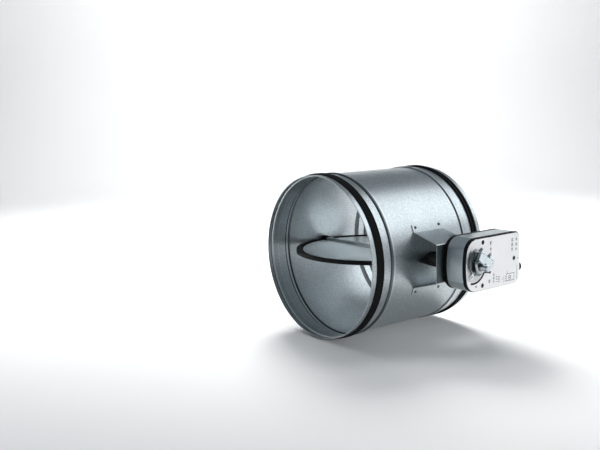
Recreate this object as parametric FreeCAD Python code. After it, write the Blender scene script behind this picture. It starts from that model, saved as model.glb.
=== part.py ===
import FreeCAD, Part
import math
import os
from FreeCAD import Vector

# Motorized round damper for a 315 mm duct, with a spring-return rotary actuator on its bracket.
# Frame: origin where the shaft axis crosses the duct axis, +X along the shaft towards the actuator,
# +Y along the duct away from the front rim, +Z up. Lengths in millimetres, angles in degrees.
# Angles about the shaft are counted from +Y towards +Z.

# Clearances
SEAT_PLAY = 0.05
RUNNING_PLAY = 0.05

# Duct shell
DUCT_RADIUS = 157.2
SHEET = 0.8
FRONT_REACH = 150.0
REAR_REACH = 146.0
HEM_FOLD = 0.8
HEM_LENGTH = 9.0
GASKET_FROM_RIM = 18.8
GASKET_WIDTH = 14.8
GROOVE_DEPTH = 1.6
BEAD_FROM_RIM = 50.0
BEAD_WIDTH = 13.0
BEAD_TOP = 5.0
BEAD_HEIGHT = 2.2

# Spigot gasket
GASKET_LIP = 3.2
GASKET_VALLEY = 0.9

# Blade
PLATE_SHEET = 1.0
SEAL_TO_DUCT = 0.5
SEAL_BAND = 13.6
SEAL_OVERLAP = 8.3
SEAL_THICKNESS = 4.8
BLADE_DROP = 2.4
RIDGE_TO_EDGE = 30.3
RIDGE_PLAY = 0.2
COLLAR_RADIUS = 8.6
COLLAR_SHORTFALL = 3.3
BLADE_RIVET_PLACES = (30.0, 92.0)
BLADE_RIVET_RADIUS = 1.6
BLADE_RIVET_HEAD = 3.2
BLADE_RIVET_HEAD_HEIGHT = 1.0

# Shaft and its bushes
SHAFT_RADIUS = 6.0
SHAFT_BEHIND_DUCT = 10.8
SHAFT_BEYOND_FACE = 84.9
SHAFT_CHAMFER = 0.8
SHAFT_MARK_WIDTH = 1.4
SHAFT_MARK_DEPTH = 1.2
BUSH_SLEEVE = 9.0
BUSH_TO_SEAL = 0.6
DRIVE_FLANGE_THICKNESS = 3.0
DRIVE_FLANGE_REACH = 29.0
DRIVE_FLANGE_TIP = 4.0
DRIVE_FLANGE_MIDDLE = 13.5
DRIVE_BOSS_RADIUS = 11.0
DRIVE_BOSS_LENGTH = 24.0
DRIVE_RIB_REACH = 13.8
DRIVE_RIB_THICKNESS = 2.2
DRIVE_RIB_COUNT = 8
IDLE_CAP_RADIUS = 13.0
IDLE_CAP_WALL = 2.5
SHAFT_END_GAP = 0.5

# Bracket on the duct
BRACKET_SHEET = 1.5
BRACKET_HALF_LENGTH = 39.0
BRACKET_RISE = 48.9
BRACKET_FACE_HALF = 36.1
BRACKET_FOOT_HALF = 52.6
BRACKET_FLANGE_END = 65.2
BRACKET_BEND = 2.5
BRACKET_BORE = 14.0
SLOT_LENGTH = 22.0
SLOT_WIDTH = 2.0
SLOT_BELOW_FACE = 24.1
SLOT_ALONG = 26.0
RIVET_ALONG = 31.5
RIVET_HEIGHT = 60.0
RIVET_SHANK = 1.6
RIVET_HEAD = 2.9
RIVET_HEAD_HEIGHT = 1.2
RIVET_TAIL = 1.8

# Actuator case
CASE_NEAR = -21.0
CASE_FAR = 132.5
CASE_HALF = 49.0
NEAR_CORNER = 28.0
NEAR_BOW = 1.5
FAR_CORNER = 14.0
REAR_COVER_DEPTH = 8.0
HOUSING_DEPTH = 36.3
FRONT_COVER_DEPTH = 6.2
FRONT_PLATE_SHEET = 0.8
COVER_WALL = 2.5
HOUSING_WALL = 1.5
HOUSING_INSET = 0.5
FRONT_PLATE_INSET = 2.6
FRONT_PLATE_HUB_PLAY = 0.5
COVER_SCREWS = ((25.0, 39.5), (25.0, -39.5), (115.0, -1.0))
SCREW_SHANK = 1.8
SCREW_HEAD = 4.2
SCREW_HEAD_DEPTH = 1.8
SCREW_LENGTH = 12.0
CASE_PILLAR_FLATS = 5.5
HOLE_SPARE = 0.5
MOUNT_SCREWS = ((30.0, 26.0), (30.0, -26.0))
MOUNT_SCREW_RADIUS = 2.4
MOUNT_SCREW_FLATS = 8.0
MOUNT_SCREW_HEAD_HEIGHT = 3.2
MOUNT_SCREW_LENGTH = 8.0
MOUNT_BOSS = 9.0
MOUNT_BOSS_HEIGHT = 5.0

# Output hub, pointer, travel scale and hub clip
HUB_RADIUS = 12.5
HUB_BORE = 10.1
HUB_REAR_GAP = 0.9
HUB_PLATE_GAP = 5.45
HUB_PLATE_SHEET = 3.5
HUB_PLATE_TOP = 20.0
HUB_PLATE_WAIST = 2.0
HUB_PLATE_FOOT = 13.0
DOG_THICKNESS = 3.0
DOG_HEIGHT = 10.0
DOG_RISE = 3.0
TRAVEL = 90.0
POINTER_ANGLE = -24.0
POINTER_GAP = 0.6
POINTER_THICKNESS = 2.6
POINTER_RING = 16.5
POINTER_TIP = 37.5
POINTER_WIDTH = 6.0
POINTER_TIP_WIDTH = 4.4
POINTER_GRIP_START = 29.5
POINTER_GRIP_RISE = 10.0
SCALE_INNER = 30.6
SCALE_OUTER = 34.2
SCALE_HEIGHT = 0.45
SCALE_FIRST_ANGLE = -104.0
SCALE_LAST_ANGLE = -25.0
CLIP_THICKNESS = 1.6
CLIP_GAP = 0.3
CLIP_RING = 14.3
CLIP_EYE_REACH = 21.0
CLIP_EYE_ANGLE = -120.0
CLIP_EYE_OUTER = 4.8
CLIP_EYE_INNER = 2.6

# Shaft clamp, in a frame turned so that its bolt legs point along local +Z
CLAMP_ANGLE = 60.0
SADDLE_DEPTH = 14.2
SADDLE_SHEET = 2.0
SADDLE_HALF_WIDTH = 21.0
SADDLE_TOP = 21.5
SADDLE_FOOT = 4.0
BOLT_ROD = 3.0
BOLT_HALF_SPACING = 13.3
BOLT_FROM_BACK = 5.2
BOLT_TURN = 50.0
BOLT_LEG_END = 31.0
NUT_FLATS = 10.0
NUT_HEIGHT = 5.0

# Gear train
PRESSURE_ANGLE = 20.0
ADDENDUM = 0.85
DEDENDUM = 1.2
BACKLASH = 0.26
ROOT_RELIEF = 0.92
MESH_PLAY = 0.12
OUTPUT_MODULE = 1.5
FIRST_MODULE = 1.0
OUTPUT_TEETH = 28
PINION_TEETH = 10
WHEEL_TEETH = 26
TOOTH_MARGIN = 14.0
SECOND_DIRECTION = 45.0
MOTOR_DIRECTION = 5.0
SPRING_DIRECTION = -22.0
OUTPUT_RISE = 10.35
OUTPUT_FACE = 6.0
GEAR_STEP = 2.0
WHEEL_FACE = 4.0
SECOND_AXLE = 2.0
SPRING_AXLE = 3.0
MOTOR_SHAFT = 1.2
MOTOR_SHAFT_DEPTH = 7.0
MOTOR_GAP = 1.0
MOTOR_HALF = 13.5
MOTOR_CORNER = 4.0
MOTOR_LENGTH = 14.5
ARBOR_RADIUS = 5.5
SPRING_WIDTH = 16.0
SPRING_STRIP = 0.9
SPRING_INNER = 6.0
SPRING_OUTER = 19.5
SPRING_TURNS = 3
SPRING_STEPS = 10
GEAR_PLATE_SHEET = 1.5
GEAR_PLATE_OUTLINE = ((0.0, 35.0), (61.0, 35.0), (64.0, -35.0), (24.0, -35.0))
GEAR_PLATE_NOTCH = 14.5
PILLAR_FLATS = 6.0
PILLAR_PLACES = ((6.0, 31.0), (57.0, 31.0), (60.0, -31.0))

# Circuit board and cable gland
BOARD_NEAR = 72.0
BOARD_FAR = 108.0
BOARD_HALF = 36.0
BOARD_SHEET = 1.6
BOARD_RISE = 7.35
BOARD_POST = 4.0
BOARD_POST_INSET = 2.0
TERMINALS_ALONG = 20.0
TERMINALS_UP = 6.0
TERMINALS_LENGTH = 14.0
TERMINALS_WIDTH = 22.0
TERMINALS_HEIGHT = 12.0
RELAY_ALONG = 4.0
RELAY_UP = 14.0
RELAY_LENGTH = 12.0
RELAY_WIDTH = 16.0
RELAY_HEIGHT = 15.0
TRANSFORMER_ALONG = 8.0
TRANSFORMER_UP = 48.0
TRANSFORMER_LENGTH = 22.0
TRANSFORMER_WIDTH = 18.0
TRANSFORMER_HEIGHT = 19.0
GLAND_RISE = 23.8
GLAND_Z = -24.0
GLAND_BORE = 3.5
GLAND_THREAD = 7.9
GLAND_FLATS = 17.5
GLAND_HEX_LENGTH = 6.0
GLAND_DOME_START = 8.8
GLAND_DOME_END = 8.0
GLAND_REACH = 20.0
GLAND_NUT_FLATS = 18.0
GLAND_NUT_HEIGHT = 4.0
GLAND_THREAD_SPARE = 1.0

# Places worked out from the sizes above
DUCT_BORE = DUCT_RADIUS - SHEET
SEAL_RADIUS = DUCT_BORE - SEAL_TO_DUCT
PLATE_RADIUS = SEAL_RADIUS - SEAL_BAND
SEAL_INNER = PLATE_RADIUS - SEAL_OVERLAP
RIDGE_REACH = PLATE_RADIUS - RIDGE_TO_EDGE
COLLAR_END = SEAL_RADIUS - COLLAR_SHORTFALL
BRACKET_FACE = DUCT_RADIUS + BRACKET_RISE
SHAFT_START = -DUCT_RADIUS - SHAFT_BEHIND_DUCT
SHAFT_END = BRACKET_FACE + SHAFT_BEYOND_FACE
REAR_COVER_START = BRACKET_FACE + SEAT_PLAY
REAR_COVER_END = REAR_COVER_START + REAR_COVER_DEPTH
REAR_FLOOR = REAR_COVER_START + COVER_WALL
HOUSING_START = REAR_COVER_END + SEAT_PLAY
HOUSING_END = HOUSING_START + HOUSING_DEPTH
FRONT_COVER_START = HOUSING_END + SEAT_PLAY
FRONT_COVER_END = FRONT_COVER_START + FRONT_COVER_DEPTH
FRONT_CEILING = FRONT_COVER_END - COVER_WALL
CASE_FACE = FRONT_COVER_END + FRONT_PLATE_SHEET
SCREW_SEAT = CASE_FACE - SCREW_HEAD_DEPTH
MOUNT_SCREW_SEAT = BRACKET_FACE - BRACKET_SHEET - SEAT_PLAY
HUB_START = BRACKET_FACE + HUB_REAR_GAP
HUB_PLATE_START = CASE_FACE + HUB_PLATE_GAP
HUB_END = HUB_PLATE_START + HUB_PLATE_SHEET
SADDLE_BACK = HUB_END + SEAT_PLAY
SADDLE_FRONT = SADDLE_BACK + SADDLE_DEPTH
BOLT_PLANE = SADDLE_BACK + BOLT_FROM_BACK
OUTPUT_LEVEL = REAR_FLOOR + OUTPUT_RISE
WHEEL_LEVEL = OUTPUT_LEVEL + OUTPUT_FACE + GEAR_STEP
MOTOR_START = WHEEL_LEVEL + WHEEL_FACE + MOTOR_GAP
GEAR_PLATE_START = MOTOR_START + MOTOR_LENGTH + SEAT_PLAY
BOARD_LEVEL = REAR_FLOOR + BOARD_RISE
GLAND_X = HOUSING_START + GLAND_RISE
PLATE_INSIDE = SEAL_THICKNESS / 2 + SEAT_PLAY
RIDGE_INNER = SHAFT_RADIUS + RIDGE_PLAY
RIDGE_OUTER = RIDGE_INNER + PLATE_SHEET
ORIGIN = Vector(0, 0, 0)
SHAFT_AXIS = Vector(1, 0, 0)
DUCT_AXIS = Vector(0, 1, 0)
UP = Vector(0, 0, 1)


def save(node, shape):
    """Writes one node as parts/NODE.step."""
    shape.exportStep(os.path.join("parts", node + ".step"))


def rod(radius, start, end, place=(0.0, 0.0)):
    """Cylinder along X through a (y, z) place."""
    return Part.makeCylinder(radius, end - start, Vector(start, place[0], place[1]), SHAFT_AXIS)


def tube(outer, inner, start, end, place=(0.0, 0.0)):
    """Hollow cylinder along X."""
    return rod(outer, start, end, place).cut(rod(inner, start - 1, end + 1, place))


def block(x_range, y_range, z_range):
    """Box between pairs of limits."""
    corner = Vector(x_range[0], y_range[0], z_range[0])
    size = [pair[1] - pair[0] for pair in (x_range, y_range, z_range)]
    return Part.makeBox(size[0], size[1], size[2], corner)


def closed_face(points):
    """Flat face inside a closed polygon."""
    return Part.Face(Part.makePolygon(points + points[:1]))


def prism(outline, start, end):
    """Outline of (y, z) points drawn out along X."""
    face = closed_face([Vector(start, y, z) for y, z in outline])
    return face.extrude(SHAFT_AXIS * (end - start))


def polar(radius, angle):
    """(y, z) of a point at a radius and an angle about the shaft."""
    return (radius * math.cos(math.radians(angle)), radius * math.sin(math.radians(angle)))


def shifted(point, radius, angle):
    """(y, z) of a point at a radius and an angle about another point."""
    step = polar(radius, angle)
    return (point[0] + step[0], point[1] + step[1])


def turned(shape, angle):
    """Shape turned about the shaft axis."""
    copy = shape.copy()
    copy.rotate(ORIGIN, SHAFT_AXIS, angle)
    return copy


def hexagon(flats, centre, axis, height):
    """Six-sided bar from a centre, along an axis."""
    radius = flats / math.sqrt(3)
    side = Vector(1, 0, 0) if abs(axis.x) < 0.5 else Vector(0, 1, 0)
    across = axis.cross(side)
    points = []
    for corner in range(6):
        angle = math.radians(60 * corner)
        points.append(centre + side * (radius * math.cos(angle)) + across * (radius * math.sin(angle)))
    return closed_face(points).extrude(axis * height)


def duct_body():
    """Solid of the duct's outer surface with a seat clearance, for what lies on it."""
    radius = DUCT_RADIUS + SEAT_PLAY
    return Part.makeCylinder(radius, 2 * radius, Vector(0, -radius, 0), DUCT_AXIS)


# Duct shell and spigot gaskets

def ring_about_duct(profile):
    """Profile of (radius, y) points turned about the duct axis."""
    face = closed_face([Vector(radius, y, 0) for radius, y in profile])
    return face.revolve(ORIGIN, DUCT_AXIS, 360)


def spigot_profile(rim, inward):
    """Outer and inner outline of the sheet at one end, from the rim inward, as (radius, y) points."""
    def at(radius, distance):
        return (radius, rim + inward * distance)

    groove_start = GASKET_FROM_RIM - GASKET_WIDTH / 2 - SEAT_PLAY
    groove_end = GASKET_FROM_RIM + GASKET_WIDTH / 2 + SEAT_PLAY
    floor = DUCT_RADIUS - GROOVE_DEPTH
    bead = [(0, BEAD_FROM_RIM - BEAD_WIDTH / 2), (BEAD_HEIGHT, BEAD_FROM_RIM - BEAD_TOP / 2)]
    bead += [(BEAD_HEIGHT, BEAD_FROM_RIM + BEAD_TOP / 2), (0, BEAD_FROM_RIM + BEAD_WIDTH / 2)]
    outer = [
        at(DUCT_RADIUS, 0), at(DUCT_RADIUS, groove_start), at(floor, groove_start),
        at(floor, groove_end), at(DUCT_RADIUS, groove_end),
    ]
    inner = [
        at(DUCT_BORE - HEM_FOLD, 0), at(DUCT_BORE - HEM_FOLD, HEM_LENGTH),
        at(floor - SHEET, groove_start), at(floor - SHEET, groove_end),
        at(DUCT_BORE, groove_end + SHEET),
    ]
    for rise, distance in bead:
        outer.append(at(DUCT_RADIUS + rise, distance))
        inner.append(at(DUCT_BORE + rise, distance))
    return outer, inner


def rivet_frames():
    """Foot point on the duct surface and outward direction of each bracket rivet."""
    frames = []
    out = math.sqrt(DUCT_RADIUS ** 2 - RIVET_HEIGHT ** 2)
    for y in (RIVET_ALONG, -RIVET_ALONG):
        for z in (RIVET_HEIGHT, -RIVET_HEIGHT):
            outward = Vector(out, 0, z)
            frames.append((Vector(out, y, z), outward.normalize()))
    return frames


def rivet_part(frame, radius, start, end):
    """Cylinder along a rivet, between two heights over the duct surface."""
    foot, outward = frame
    return Part.makeCylinder(radius, end - start, foot + outward * start, outward)


def duct_shell():
    front_outer, front_inner = spigot_profile(-FRONT_REACH, 1)
    rear_outer, rear_inner = spigot_profile(REAR_REACH, -1)
    shell = ring_about_duct(front_outer + rear_outer[::-1] + rear_inner + front_inner[::-1])
    hole = BUSH_SLEEVE + SEAT_PLAY
    inside = DUCT_BORE - BUSH_SLEEVE
    outside = DUCT_RADIUS + BUSH_SLEEVE
    shell = shell.cut(rod(hole, inside, outside)).cut(rod(hole, -outside, -inside))
    for frame in rivet_frames():
        shell = shell.cut(rivet_part(frame, RIVET_SHANK + SEAT_PLAY, -2 * SHEET, SHEET))
    return shell


def gasket(rim, inward):
    """Rubber ring in its groove, with two lips that lean away from the rim."""
    half = GASKET_WIDTH / 2
    base = DUCT_RADIUS - GROOVE_DEPTH + SEAT_PLAY
    crest = DUCT_RADIUS + GASKET_LIP
    valley = DUCT_RADIUS + GASKET_VALLEY
    profile = [(base, -half), (valley, -half), (crest, -half / 5), (valley, 0), (crest, half - SHEET)]
    profile.append((base, half))
    return ring_about_duct(
        [(radius, rim + inward * (GASKET_FROM_RIM + offset)) for radius, offset in profile]
    )


def front_gasket():
    return gasket(-FRONT_REACH, 1)


def rear_gasket():
    return gasket(REAR_REACH, -1)


# Blade

def upright_disc(outer, inner, low, high):
    """Flat ring or disc about the blade's upright axis."""
    disc = Part.makeCylinder(outer, high - low, Vector(0, 0, low))
    if inner > 0:
        disc = disc.cut(Part.makeCylinder(inner, high - low + 2, Vector(0, 0, low - 1)))
    return disc


def with_rivet_holes(shape):
    """Shape with the blade rivets' holes through it."""
    for x in BLADE_RIVET_PLACES:
        start = Vector(x, 0, -2 * RIDGE_OUTER)
        hole = Part.makeCylinder(BLADE_RIVET_RADIUS + SEAT_PLAY, 4 * RIDGE_OUTER, start)
        shape = shape.cut(hole)
    return shape


def blade_plate(from_axis):
    """Disc at a height over the shaft's axis, with a pressed channel over the shaft and open slots beyond it."""
    disc = upright_disc(PLATE_RADIUS, 0, from_axis, from_axis + PLATE_SHEET)
    above = block((-RIDGE_REACH, RIDGE_REACH), (-RIDGE_OUTER, RIDGE_OUTER), (from_axis, RIDGE_OUTER))
    ridge = rod(RIDGE_OUTER, -RIDGE_REACH, RIDGE_REACH).common(above)
    disc = disc.fuse(ridge).cut(rod(RIDGE_INNER, -PLATE_RADIUS - 1, PLATE_RADIUS + 1))
    return with_rivet_holes(disc.removeSplitter())


def upper_blade_plate():
    return blade_plate(PLATE_INSIDE - BLADE_DROP)


def lower_blade_plate():
    return blade_plate(PLATE_INSIDE + BLADE_DROP).mirror(ORIGIN, UP)


def blade_seal():
    """Flat rubber ring held between the plates, with a collar round the shaft at each side."""
    half = SEAL_THICKNESS / 2
    seal = upright_disc(SEAL_RADIUS, SEAL_INNER, -half - BLADE_DROP, half - BLADE_DROP)
    between_plates = upright_disc(PLATE_RADIUS + SEAT_PLAY, 0, -COLLAR_RADIUS - 1, COLLAR_RADIUS + 1)
    for side in (1, -1):
        collar = rod(COLLAR_RADIUS, SEAL_INNER, COLLAR_END).cut(between_plates)
        notch = rod(BUSH_SLEEVE + 1, COLLAR_END, SEAL_RADIUS + 1)
        if side < 0:
            collar = collar.mirror(ORIGIN, SHAFT_AXIS)
            notch = notch.mirror(ORIGIN, SHAFT_AXIS)
        seal = seal.cut(notch).fuse(collar)
    seal = seal.cut(rod(SHAFT_RADIUS + SEAT_PLAY, -SEAL_RADIUS - 1, SEAL_RADIUS + 1))
    return seal.removeSplitter()


def blade_rivets():
    rivets = []
    for x in BLADE_RIVET_PLACES:
        rivet = Part.makeCylinder(BLADE_RIVET_RADIUS, 2 * RIDGE_OUTER, Vector(x, 0, -RIDGE_OUTER))
        for start in (RIDGE_OUTER, -RIDGE_OUTER - BLADE_RIVET_HEAD_HEIGHT):
            head = Part.makeCylinder(BLADE_RIVET_HEAD, BLADE_RIVET_HEAD_HEIGHT, Vector(x, 0, start))
            rivet = rivet.fuse(head)
        rivets.append(rivet)
    return Part.makeCompound(rivets)


# Shaft and bushes

def drive_shaft():
    shaft = rod(SHAFT_RADIUS, SHAFT_START, SHAFT_END)
    rims = [edge for edge in shaft.Edges if isinstance(edge.Curve, Part.Circle)]
    shaft = shaft.makeChamfer(SHAFT_CHAMFER, rims)
    mark = block(
        (SHAFT_END - SHAFT_MARK_DEPTH, SHAFT_END + 1), (-2 * SHAFT_RADIUS, 2 * SHAFT_RADIUS),
        (-SHAFT_MARK_WIDTH / 2, SHAFT_MARK_WIDTH / 2),
    )
    return with_rivet_holes(shaft.cut(mark))


def flange_face():
    """Oval of two small tip arcs and two wide middle arcs, joined by tangent lines."""
    turn = math.degrees(math.asin((DRIVE_FLANGE_MIDDLE - DRIVE_FLANGE_TIP) / DRIVE_FLANGE_REACH))
    arcs = []
    for facing in (0, 180):
        tip = polar(DRIVE_FLANGE_REACH, facing)
        for angle in (facing - 90 + turn, facing, facing + 90 - turn):
            arcs.append(shifted(tip, DRIVE_FLANGE_TIP, angle))
        for angle in (facing + 90 - turn, facing + 90, facing + 90 + turn):
            arcs.append(polar(DRIVE_FLANGE_MIDDLE, angle))
    points = [Vector(0, y, z) for y, z in arcs]
    edges = []
    for first in range(0, len(points), 3):
        start, peak, end = points[first:first + 3]
        following = points[(first + 3) % len(points)]
        edges.append(Part.Arc(start, peak, end).toShape())
        edges.append(Part.LineSegment(end, following).toShape())
    return Part.Face(Part.Wire(edges))


def drive_side_bush():
    """Flanged bush with a ribbed boss, on the bracket's side."""
    inner_end = COLLAR_END + BUSH_TO_SEAL
    flange_end = DUCT_RADIUS + DRIVE_FLANGE_THICKNESS
    boss_end = flange_end + DRIVE_BOSS_LENGTH
    outside = flange_face().extrude(SHAFT_AXIS * flange_end)
    outside = outside.fuse(rod(DRIVE_BOSS_RADIUS, 0, boss_end))
    half = DRIVE_RIB_THICKNESS / 2
    for rib in range(DRIVE_RIB_COUNT // 2):
        bar = block((flange_end, boss_end), (-DRIVE_RIB_REACH, DRIVE_RIB_REACH), (-half, half))
        outside = outside.fuse(turned(bar, 360.0 * (rib + 0.5) / DRIVE_RIB_COUNT))
    bush = outside.cut(duct_body()).fuse(rod(BUSH_SLEEVE, inner_end, flange_end))
    return bush.cut(rod(SHAFT_RADIUS + RUNNING_PLAY, 0, boss_end + 1)).removeSplitter()


def idle_side_bush():
    """Closed bush on the far side of the duct."""
    inner_end = COLLAR_END + BUSH_TO_SEAL
    bore_end = SHAFT_END_GAP - SHAFT_START
    cap = rod(IDLE_CAP_RADIUS, 0, bore_end + IDLE_CAP_WALL).cut(duct_body())
    bush = cap.fuse(rod(BUSH_SLEEVE, inner_end, bore_end))
    bush = bush.cut(rod(SHAFT_RADIUS + RUNNING_PLAY, 0, bore_end)).removeSplitter()
    return bush.mirror(ORIGIN, SHAFT_AXIS)


# Bracket

def hat_block(inset):
    """Solid under the hat's sloping faces, moved inward by an inset, down to the duct's axis."""
    foot = math.sqrt((DUCT_RADIUS + SEAT_PLAY + BRACKET_SHEET) ** 2 - BRACKET_FOOT_HALF ** 2)
    lean = (BRACKET_FOOT_HALF - BRACKET_FACE_HALF) / (BRACKET_FACE - foot)
    narrowing = inset * math.hypot(1, lean)
    face = BRACKET_FACE - inset
    face_half = BRACKET_FACE_HALF - narrowing + inset * lean
    base_half = BRACKET_FACE_HALF - narrowing + BRACKET_FACE * lean
    corners = [(face, face_half), (0, base_half), (0, -base_half), (face, -face_half)]
    outline = closed_face([Vector(x, -BRACKET_HALF_LENGTH, z) for x, z in corners])
    solid = outline.extrude(DUCT_AXIS * (2 * BRACKET_HALF_LENGTH))
    folds = []
    for edge in solid.Edges:
        centre = edge.CenterOfMass
        if abs(centre.x - face) < SEAT_PLAY and abs(centre.y) < 1 and abs(centre.z) > 1:
            folds.append(edge)
    return solid.makeFillet(BRACKET_BEND - inset, folds)


def bracket():
    """Hat-shaped sheet whose two feet follow the duct."""
    reach = BRACKET_HALF_LENGTH
    radius = DUCT_RADIUS + SEAT_PLAY + BRACKET_SHEET
    inner_half = BRACKET_FOOT_HALF - BRACKET_SHEET
    feet = Part.makeCylinder(radius, 2 * reach, Vector(0, -reach, 0), DUCT_AXIS)
    feet = feet.common(block((0, radius), (-reach, reach), (-BRACKET_FLANGE_END, BRACKET_FLANGE_END)))
    feet = feet.cut(block((0, radius + 1), (-reach - 1, reach + 1), (-inner_half, inner_half)))
    hat = hat_block(0).cut(hat_block(BRACKET_SHEET)).fuse(feet).cut(duct_body())
    behind = BRACKET_FACE - 2 * BRACKET_SHEET
    hat = hat.cut(rod(BRACKET_BORE, behind, BRACKET_FACE + 1))
    for place in MOUNT_SCREWS:
        hat = hat.cut(rod(MOUNT_SCREW_RADIUS + SEAT_PLAY, behind, BRACKET_FACE + 1, place))
    slot_x = BRACKET_FACE - SLOT_BELOW_FACE
    slot = block(
        (slot_x - SLOT_WIDTH / 2, slot_x + SLOT_WIDTH / 2),
        (SLOT_ALONG - SLOT_LENGTH / 2, SLOT_ALONG + SLOT_LENGTH / 2), (0, BRACKET_FLANGE_END),
    )
    hat = hat.cut(slot)
    for frame in rivet_frames():
        hat = hat.cut(rivet_part(frame, RIVET_SHANK + SEAT_PLAY, -SHEET, 3 * BRACKET_SHEET))
    return hat.removeSplitter()


def bracket_rivets():
    head_start = BRACKET_SHEET + 2 * SEAT_PLAY
    rivets = []
    for frame in rivet_frames():
        shank = rivet_part(frame, RIVET_SHANK, -SHEET - RIVET_TAIL, head_start)
        head = rivet_part(frame, RIVET_HEAD, head_start, head_start + RIVET_HEAD_HEIGHT)
        rivets.append(shank.fuse(head))
    return Part.makeCompound(rivets)


# Actuator case

def corner_arc(centre, radius, first, last):
    """Three (y, z) points of an arc between two angles."""
    return [shifted(centre, radius, angle) for angle in (first, (first + last) / 2, last)]


def case_block(inset, start, end):
    """Case outline moved inward by an inset and drawn out along X."""
    near = CASE_NEAR + inset
    near_radius = NEAR_CORNER - inset
    near_centre = CASE_NEAR + NEAR_CORNER
    near_height = CASE_HALF - NEAR_CORNER
    far_radius = FAR_CORNER - inset
    far_centre = CASE_FAR - FAR_CORNER
    far_height = CASE_HALF - FAR_CORNER
    arcs = [
        corner_arc((near_centre, near_height), near_radius, 180, 90),
        corner_arc((far_centre, far_height), far_radius, 90, 0),
        corner_arc((far_centre, -far_height), far_radius, 0, -90),
        corner_arc((near_centre, -near_height), near_radius, -90, -180),
        [(near, -near_height), (near - NEAR_BOW, 0.0), (near, near_height)],
    ]
    edges = []
    for number, arc in enumerate(arcs):
        points = [Vector(start, y, z) for y, z in arc]
        following = arcs[(number + 1) % len(arcs)][0]
        target = Vector(start, following[0], following[1])
        edges.append(Part.Arc(*points).toShape())
        if points[2].distanceToPoint(target) > SEAT_PLAY:
            edges.append(Part.LineSegment(points[2], target).toShape())
    return Part.Face(Part.Wire(edges)).extrude(SHAFT_AXIS * (end - start))


def actuator_rear_cover():
    """Tray with bosses for the mounting screws and posts for the circuit board."""
    cover = case_block(0, REAR_COVER_START, REAR_COVER_END)
    cover = cover.cut(case_block(COVER_WALL, REAR_FLOOR, REAR_COVER_END + 1))
    boss_end = REAR_FLOOR + MOUNT_BOSS_HEIGHT
    half = MOUNT_BOSS / 2
    hole_end = MOUNT_SCREW_SEAT + MOUNT_SCREW_LENGTH + HOLE_SPARE
    for y, z in MOUNT_SCREWS:
        cover = cover.fuse(block((REAR_FLOOR, boss_end), (y - half, y + half), (z - half, z + half)))
        cover = cover.cut(rod(MOUNT_SCREW_RADIUS + SEAT_PLAY, REAR_COVER_START - 1, hole_end, (y, z)))
    half = BOARD_POST / 2
    post_end = BOARD_LEVEL - SEAT_PLAY
    for y in (BOARD_NEAR + BOARD_POST_INSET, BOARD_FAR - BOARD_POST_INSET):
        for z in (BOARD_HALF - BOARD_POST_INSET, BOARD_POST_INSET - BOARD_HALF):
            cover = cover.fuse(block((REAR_FLOOR, post_end), (y - half, y + half), (z - half, z + half)))
    return cover.cut(rod(HUB_RADIUS + RUNNING_PLAY, REAR_COVER_START - 1, REAR_FLOOR + 1)).removeSplitter()


def actuator_housing():
    """Metal sleeve between the two covers."""
    sleeve = case_block(HOUSING_INSET, HOUSING_START, HOUSING_END)
    sleeve = sleeve.cut(case_block(HOUSING_INSET + HOUSING_WALL, HOUSING_START - 1, HOUSING_END + 1))
    foot = Vector(GLAND_X, CASE_FAR - 4 * HOUSING_WALL, GLAND_Z)
    return sleeve.cut(Part.makeCylinder(GLAND_THREAD + SEAT_PLAY, 6 * HOUSING_WALL, foot, DUCT_AXIS))


def actuator_front_cover():
    cover = case_block(0, FRONT_COVER_START, FRONT_COVER_END)
    cover = cover.cut(case_block(COVER_WALL, FRONT_COVER_START - 1, FRONT_CEILING))
    cover = cover.cut(rod(HUB_RADIUS + RUNNING_PLAY, FRONT_CEILING - 1, FRONT_COVER_END + 1))
    for place in COVER_SCREWS:
        cover = cover.cut(rod(SCREW_SHANK + SEAT_PLAY, FRONT_CEILING - 1, FRONT_COVER_END + 1, place))
        cover = cover.cut(rod(SCREW_HEAD + SEAT_PLAY, SCREW_SEAT, FRONT_COVER_END + 1, place))
    return cover


def front_plate():
    plate = case_block(FRONT_PLATE_INSET, FRONT_COVER_END, CASE_FACE)
    plate = plate.cut(rod(HUB_RADIUS + FRONT_PLATE_HUB_PLAY, FRONT_COVER_END - 1, CASE_FACE + 1))
    for place in COVER_SCREWS:
        plate = plate.cut(rod(SCREW_HEAD + SEAT_PLAY, FRONT_COVER_END - 1, CASE_FACE + 1, place))
    return plate


def cover_screws():
    screws = []
    for place in COVER_SCREWS:
        head_start = SCREW_SEAT + SEAT_PLAY
        shank = rod(SCREW_SHANK, SCREW_SEAT - SCREW_LENGTH, head_start, place)
        screws.append(shank.fuse(rod(SCREW_HEAD, head_start, CASE_FACE, place)))
    return Part.makeCompound(screws)


def case_pillars():
    """Six-sided posts between the covers, with the cover screws in their ends."""
    pillars = []
    for place in COVER_SCREWS:
        foot = Vector(REAR_FLOOR + SEAT_PLAY, place[0], place[1])
        pillar = hexagon(CASE_PILLAR_FLATS, foot, SHAFT_AXIS, FRONT_CEILING - SEAT_PLAY - foot.x)
        bottom = SCREW_SEAT - SCREW_LENGTH - HOLE_SPARE
        pillars.append(pillar.cut(rod(SCREW_SHANK + SEAT_PLAY, bottom, FRONT_CEILING + 1, place)))
    return Part.makeCompound(pillars)


def mounting_screws():
    """Hexagon screws from inside the bracket into the rear cover."""
    screws = []
    end = MOUNT_SCREW_SEAT + MOUNT_SCREW_LENGTH
    for place in MOUNT_SCREWS:
        seat = Vector(MOUNT_SCREW_SEAT, place[0], place[1])
        head = hexagon(MOUNT_SCREW_FLATS, seat, SHAFT_AXIS, -MOUNT_SCREW_HEAD_HEIGHT)
        screws.append(head.fuse(rod(MOUNT_SCREW_RADIUS, MOUNT_SCREW_SEAT, end, place)))
    return Part.makeCompound(screws)


# Gear train

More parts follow.
